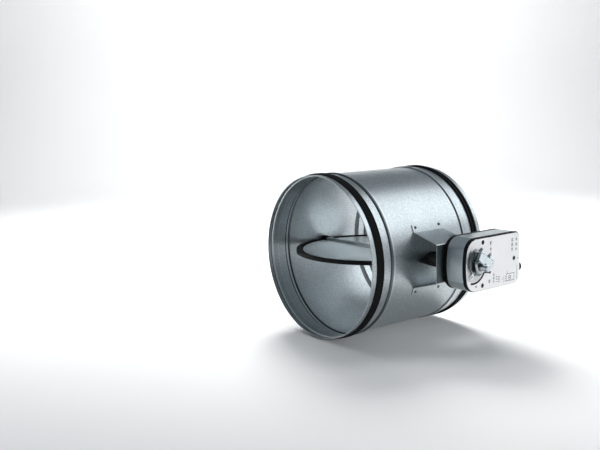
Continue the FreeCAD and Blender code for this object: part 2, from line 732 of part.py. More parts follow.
def gear_distance(module, teeth, other_teeth):
    """Distance between two meshing gears' axles."""
    return module * (teeth + other_teeth) / 2 + MESH_PLAY


SECOND_PLACE = polar(gear_distance(OUTPUT_MODULE, OUTPUT_TEETH, PINION_TEETH), SECOND_DIRECTION)
MOTOR_PLACE = shifted(
    SECOND_PLACE, gear_distance(FIRST_MODULE, WHEEL_TEETH, PINION_TEETH), MOTOR_DIRECTION
)
SPRING_PLACE = polar(gear_distance(OUTPUT_MODULE, OUTPUT_TEETH, OUTPUT_TEETH), SPRING_DIRECTION)


def tooth_half_angle(module, teeth, radius):
    """Half of a tooth's width at a radius, as an angle, on an involute flank."""
    pitch = module * teeth / 2
    base = pitch * math.cos(math.radians(PRESSURE_ANGLE))

    def involute(at):
        angle = math.acos(min(1.0, base / at))
        return math.tan(angle) - angle

    half = (math.pi * module / 2 - BACKLASH) / 2 / pitch
    return math.degrees(half + involute(pitch) - involute(max(radius, base)))


def gear_outline(module, teeth, centre, first_tooth, count):
    """(y, z) points of a run of teeth, four to a tooth, from a first tooth's angle on."""
    pitch = module * teeth / 2
    tip = pitch + ADDENDUM * module
    root = pitch - DEDENDUM * module
    tip_half = tooth_half_angle(module, teeth, tip)
    root_half = tooth_half_angle(module, teeth, root) * ROOT_RELIEF
    points = []
    for tooth in range(count):
        angle = first_tooth + 360.0 / teeth * tooth
        points.append(shifted(centre, root, angle - root_half))
        points.append(shifted(centre, tip, angle - tip_half))
        points.append(shifted(centre, tip, angle + tip_half))
        points.append(shifted(centre, root, angle + root_half))
    return points


def round_gear(module, teeth, centre, tooth_angle, start, end):
    """Gear with teeth all round and one tooth at a given angle."""
    return prism(gear_outline(module, teeth, centre, tooth_angle, teeth), start, end)


def sector_gear(module, teeth, centre, tooth_angle, first, last, start, end):
    """Gear with teeth only between two angles, on a plain disc."""
    pitch_angle = 360.0 / teeth
    skip = math.ceil((first - tooth_angle) / pitch_angle)
    count = math.floor((last - tooth_angle) / pitch_angle) - skip + 1
    run = gear_outline(module, teeth, centre, tooth_angle + skip * pitch_angle, count)
    disc = rod(module * (teeth / 2 - DEDENDUM), start, end, centre)
    return disc.fuse(prism(run + [centre], start, end))


def spring_gear_tooth_angle():
    """Angle of a spring gear tooth, so that a gap there meets each tooth of the hub."""
    pitch_angle = 360.0 / OUTPUT_TEETH
    hub_tooth = (SECOND_DIRECTION - SPRING_DIRECTION) % pitch_angle
    return SPRING_DIRECTION + 180.0 - hub_tooth + pitch_angle / 2


def second_gear():
    """Pinion and wheel in one piece, turning on its axle."""
    pinion_tooth = SECOND_DIRECTION + 180.0 + 180.0 / PINION_TEETH
    pinion = round_gear(
        OUTPUT_MODULE, PINION_TEETH, SECOND_PLACE, pinion_tooth, OUTPUT_LEVEL, WHEEL_LEVEL
    )
    wheel_end = WHEEL_LEVEL + WHEEL_FACE
    wheel = round_gear(FIRST_MODULE, WHEEL_TEETH, SECOND_PLACE, MOTOR_DIRECTION, WHEEL_LEVEL, wheel_end)
    bore = rod(SECOND_AXLE + RUNNING_PLAY, OUTPUT_LEVEL - 1, wheel_end + 1, SECOND_PLACE)
    return pinion.fuse(wheel).cut(bore)


def motor_pinion():
    """Pinion in one piece with the motor's shaft."""
    tooth = MOTOR_DIRECTION + 180.0 + 180.0 / PINION_TEETH
    wheel_end = WHEEL_LEVEL + WHEEL_FACE
    pinion = round_gear(FIRST_MODULE, PINION_TEETH, MOTOR_PLACE, tooth, WHEEL_LEVEL, wheel_end)
    return pinion.fuse(rod(MOTOR_SHAFT, WHEEL_LEVEL, MOTOR_START + MOTOR_SHAFT_DEPTH, MOTOR_PLACE))


def motor():
    """Square can with cut corners and the rotor's bore."""
    half_angle = math.degrees(math.atan2(MOTOR_HALF - MOTOR_CORNER, MOTOR_HALF))
    reach = math.hypot(MOTOR_HALF, MOTOR_HALF - MOTOR_CORNER)
    corners = []
    for side in (0, 90, 180, 270):
        corners.append(shifted(MOTOR_PLACE, reach, side - half_angle))
        corners.append(shifted(MOTOR_PLACE, reach, side + half_angle))
    can = prism(corners, MOTOR_START, MOTOR_START + MOTOR_LENGTH)
    bore_end = MOTOR_START + MOTOR_SHAFT_DEPTH + HOLE_SPARE
    return can.cut(rod(MOTOR_SHAFT + RUNNING_PLAY, MOTOR_START - 1, bore_end, MOTOR_PLACE))


def spring_gear():
    """Sector gear with the arbor that the return spring is wound on."""
    mesh = SPRING_DIRECTION + 180.0
    gear = sector_gear(
        OUTPUT_MODULE, OUTPUT_TEETH, SPRING_PLACE, spring_gear_tooth_angle(),
        mesh - TRAVEL - TOOTH_MARGIN, mesh + TOOTH_MARGIN, OUTPUT_LEVEL, OUTPUT_LEVEL + OUTPUT_FACE,
    )
    end = WHEEL_LEVEL + SPRING_WIDTH
    gear = gear.fuse(rod(ARBOR_RADIUS, OUTPUT_LEVEL, end, SPRING_PLACE))
    return gear.cut(rod(SPRING_AXLE + RUNNING_PLAY, OUTPUT_LEVEL - 1, end + 1, SPRING_PLACE))


def main_spring():
    """Flat strip wound in a spiral round the arbor."""
    steps = SPRING_TURNS * SPRING_STEPS
    growth = (SPRING_OUTER - SPRING_STRIP - SPRING_INNER) / steps
    outer_side = []
    inner_side = []
    for step in range(steps + 1):
        radius = SPRING_INNER + growth * step
        angle = 360.0 * step / SPRING_STEPS
        inner_side.append(shifted(SPRING_PLACE, radius, angle))
        outer_side.append(shifted(SPRING_PLACE, radius + SPRING_STRIP, angle))
    return prism(inner_side + outer_side[::-1], WHEEL_LEVEL, WHEEL_LEVEL + SPRING_WIDTH)


def gear_axles():
    start = REAR_FLOOR + SEAT_PLAY
    end = GEAR_PLATE_START - SEAT_PLAY
    second = rod(SECOND_AXLE, start, end, SECOND_PLACE)
    return Part.makeCompound([second, rod(SPRING_AXLE, start, end, SPRING_PLACE)])


def gear_plate():
    """Plate over the gears that carries the motor and the axle ends."""
    end = GEAR_PLATE_START + GEAR_PLATE_SHEET
    plate = prism(GEAR_PLATE_OUTLINE, GEAR_PLATE_START, end)
    return plate.cut(rod(GEAR_PLATE_NOTCH, GEAR_PLATE_START - 1, end + 1))


def gear_pillars():
    pillars = []
    for y, z in PILLAR_PLACES:
        foot = Vector(REAR_FLOOR + SEAT_PLAY, y, z)
        pillars.append(hexagon(PILLAR_FLATS, foot, SHAFT_AXIS, GEAR_PLATE_START - SEAT_PLAY - foot.x))
    return Part.makeCompound(pillars)


# Output hub, pointer, end stop and clamp

def upright_to_clamp(shape):
    """Shape modelled with its bolt legs along +Z, turned to the clamp's angle."""
    return turned(shape, CLAMP_ANGLE - 90.0)


def hub_front():
    """Plate on the hub's end, with two dogs that hold the saddle's sides."""
    inner = SADDLE_HALF_WIDTH + SEAT_PLAY
    outer = inner + DOG_THICKNESS
    right = [(outer, HUB_PLATE_TOP), (outer, HUB_PLATE_WAIST), (HUB_PLATE_FOOT, -HUB_PLATE_FOOT)]
    left = [(-y, z) for y, z in right[::-1]]
    front = prism(right + left, HUB_PLATE_START, HUB_END)
    for y_range in ((inner, outer), (-outer, -inner)):
        height = (SADDLE_FOOT, SADDLE_FOOT + DOG_HEIGHT)
        front = front.fuse(block((HUB_END - 1, HUB_END + DOG_RISE), y_range, height))
    return upright_to_clamp(front)


def output_hub():
    """Hollow hub with its gear teeth and its front plate in one piece."""
    gear = sector_gear(
        OUTPUT_MODULE, OUTPUT_TEETH, (0.0, 0.0), SECOND_DIRECTION,
        SPRING_DIRECTION - TOOTH_MARGIN, SECOND_DIRECTION + TRAVEL + TOOTH_MARGIN,
        OUTPUT_LEVEL, OUTPUT_LEVEL + OUTPUT_FACE,
    )
    hub = rod(HUB_RADIUS, HUB_START, HUB_END).fuse(hub_front()).fuse(gear)
    return hub.cut(rod(HUB_BORE, HUB_START - 1, HUB_END + 1)).removeSplitter()


def position_pointer():
    """Pointer with a half ring that clips round the hub."""
    start = CASE_FACE + POINTER_GAP
    end = start + POINTER_THICKNESS
    clip = tube(POINTER_RING, HUB_RADIUS + SEAT_PLAY, start, end)
    clip = clip.common(block((start, end), (0, POINTER_RING), (-POINTER_RING, POINTER_RING)))
    root = (HUB_RADIUS + POINTER_RING) / 2
    half = POINTER_WIDTH / 2
    tip_half = POINTER_TIP_WIDTH / 2
    arrow = prism([(root, -half), (POINTER_TIP, -tip_half), (POINTER_TIP, tip_half), (root, half)], start, end)
    grip = block((start, start + POINTER_GRIP_RISE), (POINTER_GRIP_START, POINTER_TIP), (-tip_half, tip_half))
    return turned(clip.fuse(arrow).fuse(grip).removeSplitter(), POINTER_ANGLE)


def travel_scale():
    """Raised arc on the front plate that shows the pointer's travel."""
    middle = (SCALE_FIRST_ANGLE + SCALE_LAST_ANGLE) / 2
    points = []
    for radius, angles in (
        (SCALE_OUTER, (SCALE_FIRST_ANGLE, middle, SCALE_LAST_ANGLE)),
        (SCALE_INNER, (SCALE_LAST_ANGLE, middle, SCALE_FIRST_ANGLE)),
    ):
        points.append([Vector(CASE_FACE, *polar(radius, angle)) for angle in angles])
    outer, inner = points
    edges = [Part.Arc(*outer).toShape(), Part.LineSegment(outer[2], inner[0]).toShape()]
    edges += [Part.Arc(*inner).toShape(), Part.LineSegment(inner[2], outer[0]).toShape()]
    return Part.Face(Part.Wire(edges)).extrude(SHAFT_AXIS * SCALE_HEIGHT)


def hub_clip():
    """Spring clip round the hub with an eye to pull it off by, between the pointer and the hub's plate."""
    end = HUB_PLATE_START - CLIP_GAP
    start = end - CLIP_THICKNESS
    ring = tube(CLIP_RING, HUB_RADIUS + SEAT_PLAY, start, end)
    open_side = block((start - 1, end + 1), (0, 2 * CLIP_RING), (-CLIP_RING / 2, CLIP_RING / 2))
    ring = ring.cut(turned(open_side, CLIP_EYE_ANGLE + 180.0))
    eye_place = polar(CLIP_EYE_REACH, CLIP_EYE_ANGLE)
    neck = block((start, end), (HUB_RADIUS + CLIP_GAP, CLIP_EYE_REACH), (-CLIP_EYE_INNER, CLIP_EYE_INNER))
    clip = ring.fuse(turned(neck, CLIP_EYE_ANGLE)).fuse(rod(CLIP_EYE_OUTER, start, end, eye_place))
    return clip.cut(rod(CLIP_EYE_INNER, start - 1, end + 1, eye_place)).removeSplitter()


def clamp_saddle():
    """Folded channel whose two flanges straddle the shaft with V notches."""
    top = SADDLE_TOP
    wide = SADDLE_HALF_WIDTH
    apex = (SHAFT_RADIUS + SEAT_PLAY) * math.sqrt(2)
    mouth = apex - SADDLE_FOOT
    right = [(mouth, SADDLE_FOOT), (wide, SADDLE_FOOT), (wide, top)]
    left = [(-y, z) for y, z in right[::-1]]
    saddle = prism([(0.0, apex)] + right + left, SADDLE_BACK, SADDLE_FRONT)
    inside = block(
        (SADDLE_BACK + SADDLE_SHEET, SADDLE_FRONT - SADDLE_SHEET), (-wide - 1, wide + 1),
        (SADDLE_FOOT - 1, top - SADDLE_SHEET),
    )
    saddle = saddle.cut(inside)
    for y in (BOLT_HALF_SPACING, -BOLT_HALF_SPACING):
        foot = Vector(BOLT_PLANE, y, top - 2 * SADDLE_SHEET)
        saddle = saddle.cut(Part.makeCylinder(BOLT_ROD + 2 * SEAT_PLAY, 4 * SADDLE_SHEET, foot))
    return upright_to_clamp(saddle)


def clamp_u_bolt():
    """Bent rod under the shaft, with its two legs through the saddle."""
    reach = SHAFT_RADIUS + BOLT_ROD + SEAT_PLAY
    turn = math.radians(BOLT_TURN)
    bottom_half = reach * (1 - math.cos(turn)) / math.sin(turn)
    shoulder = (BOLT_HALF_SPACING * math.sin(turn) - reach) / math.cos(turn)
    right = [(BOLT_HALF_SPACING, BOLT_LEG_END), (BOLT_HALF_SPACING, shoulder), (bottom_half, -reach)]
    left = [(-y, z) for y, z in right[::-1]]
    path = Part.makePolygon([Vector(BOLT_PLANE, y, z) for y, z in right + left])
    start = Vector(BOLT_PLANE, BOLT_HALF_SPACING, BOLT_LEG_END)
    section = Part.Wire(Part.makeCircle(BOLT_ROD, start, UP))
    return upright_to_clamp(path.makePipeShell([section], True, False, 1))


def clamp_nuts():
    nuts = []
    for y in (BOLT_HALF_SPACING, -BOLT_HALF_SPACING):
        foot = Vector(BOLT_PLANE, y, SADDLE_TOP + SEAT_PLAY)
        nut = hexagon(NUT_FLATS, foot, UP, NUT_HEIGHT)
        hole = Part.makeCylinder(BOLT_ROD + SEAT_PLAY, NUT_HEIGHT + 2, foot - UP)
        nuts.append(upright_to_clamp(nut.cut(hole)))
    return Part.makeCompound(nuts)


# Circuit board and cable gland

def circuit_board():
    end = BOARD_LEVEL + BOARD_SHEET
    return block((BOARD_LEVEL, end), (BOARD_NEAR, BOARD_FAR), (-BOARD_HALF, BOARD_HALF))


def board_components():
    base = BOARD_LEVEL + BOARD_SHEET + SEAT_PLAY
    blocks = []
    for along, up, length, width, height in (
        (TERMINALS_ALONG, TERMINALS_UP, TERMINALS_LENGTH, TERMINALS_WIDTH, TERMINALS_HEIGHT),
        (RELAY_ALONG, RELAY_UP, RELAY_LENGTH, RELAY_WIDTH, RELAY_HEIGHT),
        (TRANSFORMER_ALONG, TRANSFORMER_UP, TRANSFORMER_LENGTH, TRANSFORMER_WIDTH, TRANSFORMER_HEIGHT),
    ):
        near = BOARD_NEAR + along
        low = up - BOARD_HALF
        blocks.append(block((base, base + height), (near, near + length), (low, low + width)))
    return Part.makeCompound(blocks)


def cable_gland():
    """Six-sided body with a tapered cap outside the housing and a thread through its wall."""
    wall = CASE_FAR - HOUSING_INSET
    seat = Vector(GLAND_X, wall + SEAT_PLAY, GLAND_Z)
    thread_length = HOUSING_WALL + GLAND_NUT_HEIGHT + 2 * SEAT_PLAY + GLAND_THREAD_SPARE
    body = hexagon(GLAND_FLATS, seat, DUCT_AXIS, GLAND_HEX_LENGTH)
    cap_start = seat + DUCT_AXIS * GLAND_HEX_LENGTH
    cap_length = GLAND_REACH - GLAND_HEX_LENGTH
    cap = Part.makeCone(GLAND_DOME_START, GLAND_DOME_END, cap_length, cap_start, DUCT_AXIS)
    thread_end = seat - DUCT_AXIS * thread_length
    thread = Part.makeCylinder(GLAND_THREAD, thread_length, thread_end, DUCT_AXIS)
    bore = Part.makeCylinder(GLAND_BORE, thread_length + GLAND_REACH + 2, thread_end - DUCT_AXIS, DUCT_AXIS)
    return body.fuse(cap).fuse(thread).cut(bore)


def gland_nut():
    seat = Vector(GLAND_X, CASE_FAR - HOUSING_INSET - HOUSING_WALL - SEAT_PLAY, GLAND_Z)
    nut = hexagon(GLAND_NUT_FLATS, seat, DUCT_AXIS, -GLAND_NUT_HEIGHT)
    start = seat - DUCT_AXIS * (GLAND_NUT_HEIGHT + 1)
    return nut.cut(Part.makeCylinder(GLAND_THREAD + SEAT_PLAY, GLAND_NUT_HEIGHT + 2, start, DUCT_AXIS))


NODES = {
    "duct_shell": duct_shell,
    "front_gasket": front_gasket,
    "rear_gasket": rear_gasket,
    "blade_upper_plate": upper_blade_plate,
    "blade_lower_plate": lower_blade_plate,
    "blade_seal": blade_seal,
    "blade_rivets": blade_rivets,
    "drive_shaft": drive_shaft,
    "drive_side_bush": drive_side_bush,
    "idle_side_bush": idle_side_bush,
    "bracket": bracket,
    "bracket_rivets": bracket_rivets,
    "actuator_rear_cover": actuator_rear_cover,
    "actuator_housing": actuator_housing,
    "actuator_front_cover": actuator_front_cover,
    "front_plate": front_plate,
    "cover_screws": cover_screws,
    "case_pillars": case_pillars,
    "mounting_screws": mounting_screws,
    "output_hub": output_hub,
    "position_pointer": position_pointer,
    "travel_scale": travel_scale,
    "hub_clip": hub_clip,
    "clamp_saddle": clamp_saddle,
    "clamp_u_bolt": clamp_u_bolt,
    "clamp_nuts": clamp_nuts,
    "second_gear": second_gear,
    "motor_pinion": motor_pinion,
    "motor": motor,
    "spring_gear": spring_gear,
    "main_spring": main_spring,
    "gear_axles": gear_axles,
    "gear_plate": gear_plate,
    "gear_pillars": gear_pillars,
    "circuit_board": circuit_board,
    "board_components": board_components,
    "cable_gland": cable_gland,
    "gland_nut": gland_nut,
}

os.makedirs("parts", exist_ok=True)
for name, make in NODES.items():
    save(name, make())
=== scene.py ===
import bmesh
import bpy
import math
from mathutils import Matrix, Vector
from mathutils.geometry import tessellate_polygon


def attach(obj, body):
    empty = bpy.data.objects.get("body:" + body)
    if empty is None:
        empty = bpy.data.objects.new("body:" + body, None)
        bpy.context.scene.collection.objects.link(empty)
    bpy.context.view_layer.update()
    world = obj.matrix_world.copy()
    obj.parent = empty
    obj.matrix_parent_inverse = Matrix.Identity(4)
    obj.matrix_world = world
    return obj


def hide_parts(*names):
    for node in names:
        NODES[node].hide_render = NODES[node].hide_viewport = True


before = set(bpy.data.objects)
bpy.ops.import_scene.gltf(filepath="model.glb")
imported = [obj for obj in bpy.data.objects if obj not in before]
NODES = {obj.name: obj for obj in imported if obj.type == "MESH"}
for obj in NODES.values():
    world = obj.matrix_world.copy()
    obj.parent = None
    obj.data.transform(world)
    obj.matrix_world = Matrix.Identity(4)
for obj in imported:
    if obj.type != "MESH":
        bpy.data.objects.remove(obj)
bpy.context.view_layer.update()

# Motorized round damper. Row frame: +X along the shaft towards the actuator, +Y along the duct, +Z up.
# Sizes and places are millimetres, and are scaled to metres where meshes, lights and the camera are made.
# Only the sizes of the soft boxes are written in metres.

MM = 0.001

# Least turn between two faces that makes an edge sharp, in degrees
SHARP = 32.0
KINK = 7.0

# Points of a mesh that are closer than this are one, in metres
SAME_POINT = 1e-6

# Steps round the duct and its gaskets
DUCT_STEPS = 256

# Sizes shared with the CAD model
DUCT_RADIUS = 157.2
SHEET = 0.8
FRONT_RIM = -150.0
REAR_RIM = 146.0
GROOVE = 1.6
BEAD = 2.2
GASKET_FROM_RIM = 18.8
SHAFT_RADIUS = 6.0
BRACKET_SHEET = 1.5
BRACKET_FACE = 206.1
BRACKET_FACE_HALF = 36.1
BRACKET_FOOT = 149.78
BRACKET_FOOT_HALF = 52.6
BRACKET_FLANGE_END = 65.2
BRACKET_HALF_LENGTH = 39.0
BRACKET_BORE = 14.0
RIVET_ALONG = 31.5
RIVET_HEIGHT = 60.0
REAR_COVER = (206.15, 214.15)
HOUSING = (214.20, 250.50)
FRONT_COVER = (250.55, 256.75)
CASE_FACE = 257.55
CASE_HALF = 49.0
CASE_END = 132.5
NEAR_CENTRE = 7.0
NEAR_CORNER = 28.0
FAR_CORNER = 14.0
BEND_LINE = -19.5
COVER_WALL = 2.5
SLEEVE_WALL = 2.0
HUB_HOLE = 12.9
COVER_SCREWS = ((25.0, 39.5), (25.0, -39.5), (115.0, -1.0))
SCREW_HOLE = 4.25
SCREW_SEAT = 255.7
CLAMP_TURN = -30.0
SADDLE_SHEET = 2.0
SADDLE_BACK = 266.55
SADDLE_FRONT = 281.0
SADDLE_HALF = 20.4
SADDLE_TOP = 21.5
BOLT_PLANE = 271.75
BOLT_HALF_SPACING = 13.3
BOLT_SLANT = math.radians(50)
NUT_FLATS = 10.0
NUT_BACK = 21.55
NUT_FRONT = 26.55
GLAND = (238.0, -24.0)
GLAND_SEAT = 132.05


# Outlines

def flat(*values):
    return [Vector(value) for value in values]


def arc(centre, radius, first, last, step):
    """Points of an arc between two angles in degrees."""
    count = max(1, math.ceil(abs(last - first) / step))
    angles = [math.radians(first + (last - first) * i / count) for i in range(count + 1)]
    return [Vector((centre[0] + radius * math.cos(a), centre[1] + radius * math.sin(a))) for a in angles]


def circle(centre, radius, count):
    return arc(centre, radius, 0.0, 360.0 - 360.0 / count, 360.0 / count)


def corner_points(before, corner, after, radius, step):
    """The arc that rounds one corner of an outline."""
    towards = (before - corner).normalized()
    away = (after - corner).normalized()
    angle = math.acos(max(-1.0, min(1.0, towards.dot(away))))
    if radius <= 0.0 or angle > math.radians(179.0) or angle < math.radians(1.0):
        return [corner]
    room = 0.49 * min((before - corner).length, (after - corner).length)
    reach = min(radius / math.tan(angle / 2), room)
    radius = reach * math.tan(angle / 2)
    centre = corner + (towards + away).normalized() * math.hypot(reach, radius)
    start = corner + towards * reach - centre
    end = corner + away * reach - centre
    side = 1.0 if start.x * end.y - start.y * end.x > 0 else -1.0
    turn = math.pi - angle
    count = max(2, math.ceil(math.degrees(turn) / step))
    return [centre + Matrix.Rotation(side * turn * i / count, 2) @ start for i in range(count + 1)]


def rounded(corners, step=18.0, closed=True):
    """Outline from (a, b, radius) corners, each corner rounded by its radius."""
    points = [Vector(corner[:2]) for corner in corners]
    outline = []
    for i, corner in enumerate(corners):
        if not closed and i in (0, len(corners) - 1):
            outline.append(points[i])
            continue
        following = points[(i + 1) % len(points)]
        outline += corner_points(points[i - 1], points[i], following, corner[2], step)
    return outline


def inset(outline, depth):
    """Closed outline moved inward by a depth, outward where the depth is negative."""
    if callable(outline):
        return outline(depth)
    if abs(depth) < 1e-9:
        return outline
    area = sum(a.x * b.y - b.x * a.y for a, b in zip(outline, outline[1:] + outline[:1]))
    side = 1.0 if area > 0 else -1.0
    moved = []
    for i, point in enumerate(outline):
        first = (point - outline[i - 1]).normalized()
        second = (outline[(i + 1) % len(outline)] - point).normalized()
        normal = Vector((-first.y - second.y, first.x + second.x))
        if normal.length < 1e-6:
            normal = Vector((-first.y, first.x))
        normal.normalize()
        stretch = max(0.3, normal.dot(Vector((-first.y, first.x))))
        moved.append(point + normal * (side * depth / stretch))
    return moved


def offset_path(path, distance):
    """Open path moved sideways by a distance."""
    moved = []
    for i, point in enumerate(path):
        before = path[max(i - 1, 0)]
        after = path[min(i + 1, len(path) - 1)]
        first = (point - before).normalized() if i else (after - point).normalized()
        second = (after - point).normalized() if i < len(path) - 1 else first
        normal = Vector((-first.y - second.y, first.x + second.x)).normalized()
        stretch = max(0.3, normal.dot(Vector((-first.y, first.x))))
        moved.append(point + normal * (distance / stretch))
    return moved


def levels(start, end, first=0.0, second=0.0, count=4, widen=1.0):
    """(distance, inset) levels of a slab whose two rims are rounded by radii. For a hole, widen is -1."""
    quarter = [math.radians(90.0 * i / count) for i in range(count + 1)]
    rising = [(start + first * (1 - math.cos(t)), widen * first * (1 - math.sin(t))) for t in quarter]
    falling = [(end - second * (1 - math.cos(t)), widen * second * (1 - math.sin(t))) for t in quarter]
    return (rising if first > 0 else rising[:1]) + (falling[::-1] if second > 0 else falling[:1])


# Meshes

def along_x(point, distance):
    return Vector((distance, point.x, point.y))


def along_y(point, distance):
    return Vector((point.x, distance, point.y))


def along_z(point, distance):
    return Vector((point.x, point.y, distance))


def clamp_frame(x, y, z):
    """Row point of a clamp point, whose local z runs along the bolt's legs."""
    turn = math.radians(CLAMP_TURN)
    return Vector((x, y * math.cos(turn) - z * math.sin(turn), y * math.sin(turn) + z * math.cos(turn)))


def along_leg(point, distance):
    return clamp_frame(point.x, point.y, distance)


class Shape:
    """Points and faces of one mesh, in millimetres."""

    def __init__(self):
        self.points = []
        self.faces = []

    def ring(self, points):
        start = len(self.points)
        self.points += points
        return list(range(start, len(self.points)))

    def band(self, first, second, closed=True):
        for i in range(len(first) if closed else len(first) - 1):
            j = (i + 1) % len(first)
            self.faces.append((first[i], first[j], second[j], second[i]))

    def cap(self, loops):
        flattened = [index for loop in loops for index in loop]
        for corners in tessellate_polygon([[self.points[i] for i in loop] for loop in loops]):
            self.faces.append(tuple(flattened[corner] for corner in corners))

    def lathe(self, profile, centre, axis, steps, closed=True):
        """Profile of (radius, distance) points turned about an axis."""
        axis = Vector(axis).normalized()
        side = axis.orthogonal().normalized()
        across = axis.cross(side)
        rings = []
        for step in range(steps):
            angle = 2 * math.pi * step / steps
            out = side * math.cos(angle) + across * math.sin(angle)
            rings.append(self.ring([Vector(centre) + out * p[0] + axis * p[1] for p in profile]))
        for first, second in zip(rings, rings[1:] + rings[:1]):
            self.band(first, second, closed)
        return self

    def drawn(self, outline, layers, holes=(), to_row=along_x):
        """Outline drawn through (distance, inset) layers, with holes given the same way."""
        ends = ([], [])
        for points, path in [(outline, layers), *holes]:
            rings = []
            for distance, depth in path:
                rings.append(self.ring([to_row(point, distance) for point in inset(points, depth)]))
            for first, second in zip(rings, rings[1:]):
                self.band(first, second)
            ends[0].append(rings[0])
            ends[1].append(rings[-1])
        for loops in ends:
            self.cap(loops)
        return self

    def sweep(self, path, radius, steps):
        """Round bar along a path. The radius may depend on (length along, angle)."""
        side = (path[1] - path[0]).orthogonal().normalized()
        rings = []
        length = 0.0
        for i, point in enumerate(path):
            before = path[max(i - 1, 0)]
            after = path[min(i + 1, len(path) - 1)]
            direction = (after - before).normalized()
            side = (side - direction * side.dot(direction)).normalized()
            across = direction.cross(side)
            length += (point - before).length
            ring = []
            for step in range(steps):
                angle = 2 * math.pi * step / steps
                reach = radius(length, angle) if callable(radius) else radius
                ring.append(point + (side * math.cos(angle) + across * math.sin(angle)) * reach)
            rings.append(self.ring(ring))
        for first, second in zip(rings, rings[1:]):
            self.band(first, second)
        self.cap([rings[0]])
        self.cap([rings[-1]])
        return self


def smoothed(mesh, sharp=SHARP):
    """Smooth faces with sharp edges where the surface turns by more than an angle."""
    work = bmesh.new()
    work.from_mesh(mesh)
    bmesh.ops.remove_doubles(work, verts=work.verts, dist=SAME_POINT)
    bmesh.ops.dissolve_degenerate(work, edges=work.edges, dist=1e-7)
    bmesh.ops.recalc_face_normals(work, faces=work.faces)
    work.to_mesh(mesh)
    work.free()
    mesh.polygons.foreach_set("use_smooth", [True] * len(mesh.polygons))
    mesh.set_sharp_from_angle(angle=math.radians(sharp))


def mesh_object(name, shape, sharp=SHARP):
    mesh = bpy.data.meshes.new(name)
    mesh.from_pydata([point * MM for point in shape.points], [], shape.faces)
    smoothed(mesh, sharp)
    made = bpy.data.objects.new(name, mesh)
    bpy.context.scene.collection.objects.link(made)
    return made


def cut(made, *cutters):
    """Object with the cutters' shapes taken out of its mesh."""
    for shape in cutters:
        tool = mesh_object("cutter", shape)
        modifier = made.modifiers.new("cut", "BOOLEAN")
        modifier.operation = "DIFFERENCE"
        modifier.solver = "EXACT"
        modifier.object = tool
        bpy.context.view_layer.update()
        mesh = bpy.data.meshes.new_from_object(made.evaluated_get(bpy.context.evaluated_depsgraph_get()))
        made.modifiers.clear()
        made.data = mesh
        bpy.data.objects.remove(tool)
    smoothed(made.data)
    return made


def dress(piece, body, material, nodes=()):
    """Gives a new piece its material and its body, and hides the CAD nodes that it stands for."""
    piece.data.materials.clear()
    piece.data.materials.append(material)
    even = piece.modifiers.new("even_normals", "WEIGHTED_NORMAL")
    even.keep_sharp = True
    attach(piece, body)
    if nodes:
        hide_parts(*nodes)
    return piece


def piece(name, shape, body, look, *nodes):
    return dress(mesh_object(name, shape), body, look, nodes)


def eased(made, width):
    """Rounds an object's sharp edges by a width in millimetres."""
    bevel = made.modifiers.new("eased_edges", "BEVEL")
    bevel.width = width * MM
    bevel.segments = 2
    bevel.limit_method = "ANGLE"
    bevel.angle_limit = math.radians(SHARP)
    bevel.harden_normals = True
    return made


def keep(look, *nodes, edge=0.0):
    """Gives CAD nodes their material and smooth shading, and eased edges where an edge width is given."""
    for name in nodes:
        node = NODES[name]
        node.data.materials.clear()
        node.data.materials.append(look)
        node.data.polygons.foreach_set("use_smooth", [True] * len(node.data.polygons))
        join = node.modifiers.new("join", "WELD")
        join.merge_threshold = SAME_POINT
        if edge:
            eased(node, edge)
        else:
            split = node.modifiers.new("split", "EDGE_SPLIT")
            split.split_angle = math.radians(SHARP)


# Materials

EVEN = (1.0, 1.0, 1.0)
NOISE_RANGE = (0.25, 0.75)
BUMP_DEPTH = 0.2
BROAD_SCALE = 14.0
PLAIN_GRAIN = ("noise", 60.0, 0.06, EVEN)
METAL_GRAIN = ("noise", 300.0, 0.08, EVEN)
PALE_METAL_GRAIN = ("noise", 300.0, 0.06, EVEN)
SLEEVE_GRAIN = ("noise", 90.0, 0.03, (40.0, 1.0, 1.0))
SHAFT_GRAIN = ("noise", 120.0, 0.06, (30.0, 1.0, 1.0))
PLASTIC_GRAIN = ("noise", 500.0, 0.2, EVEN)


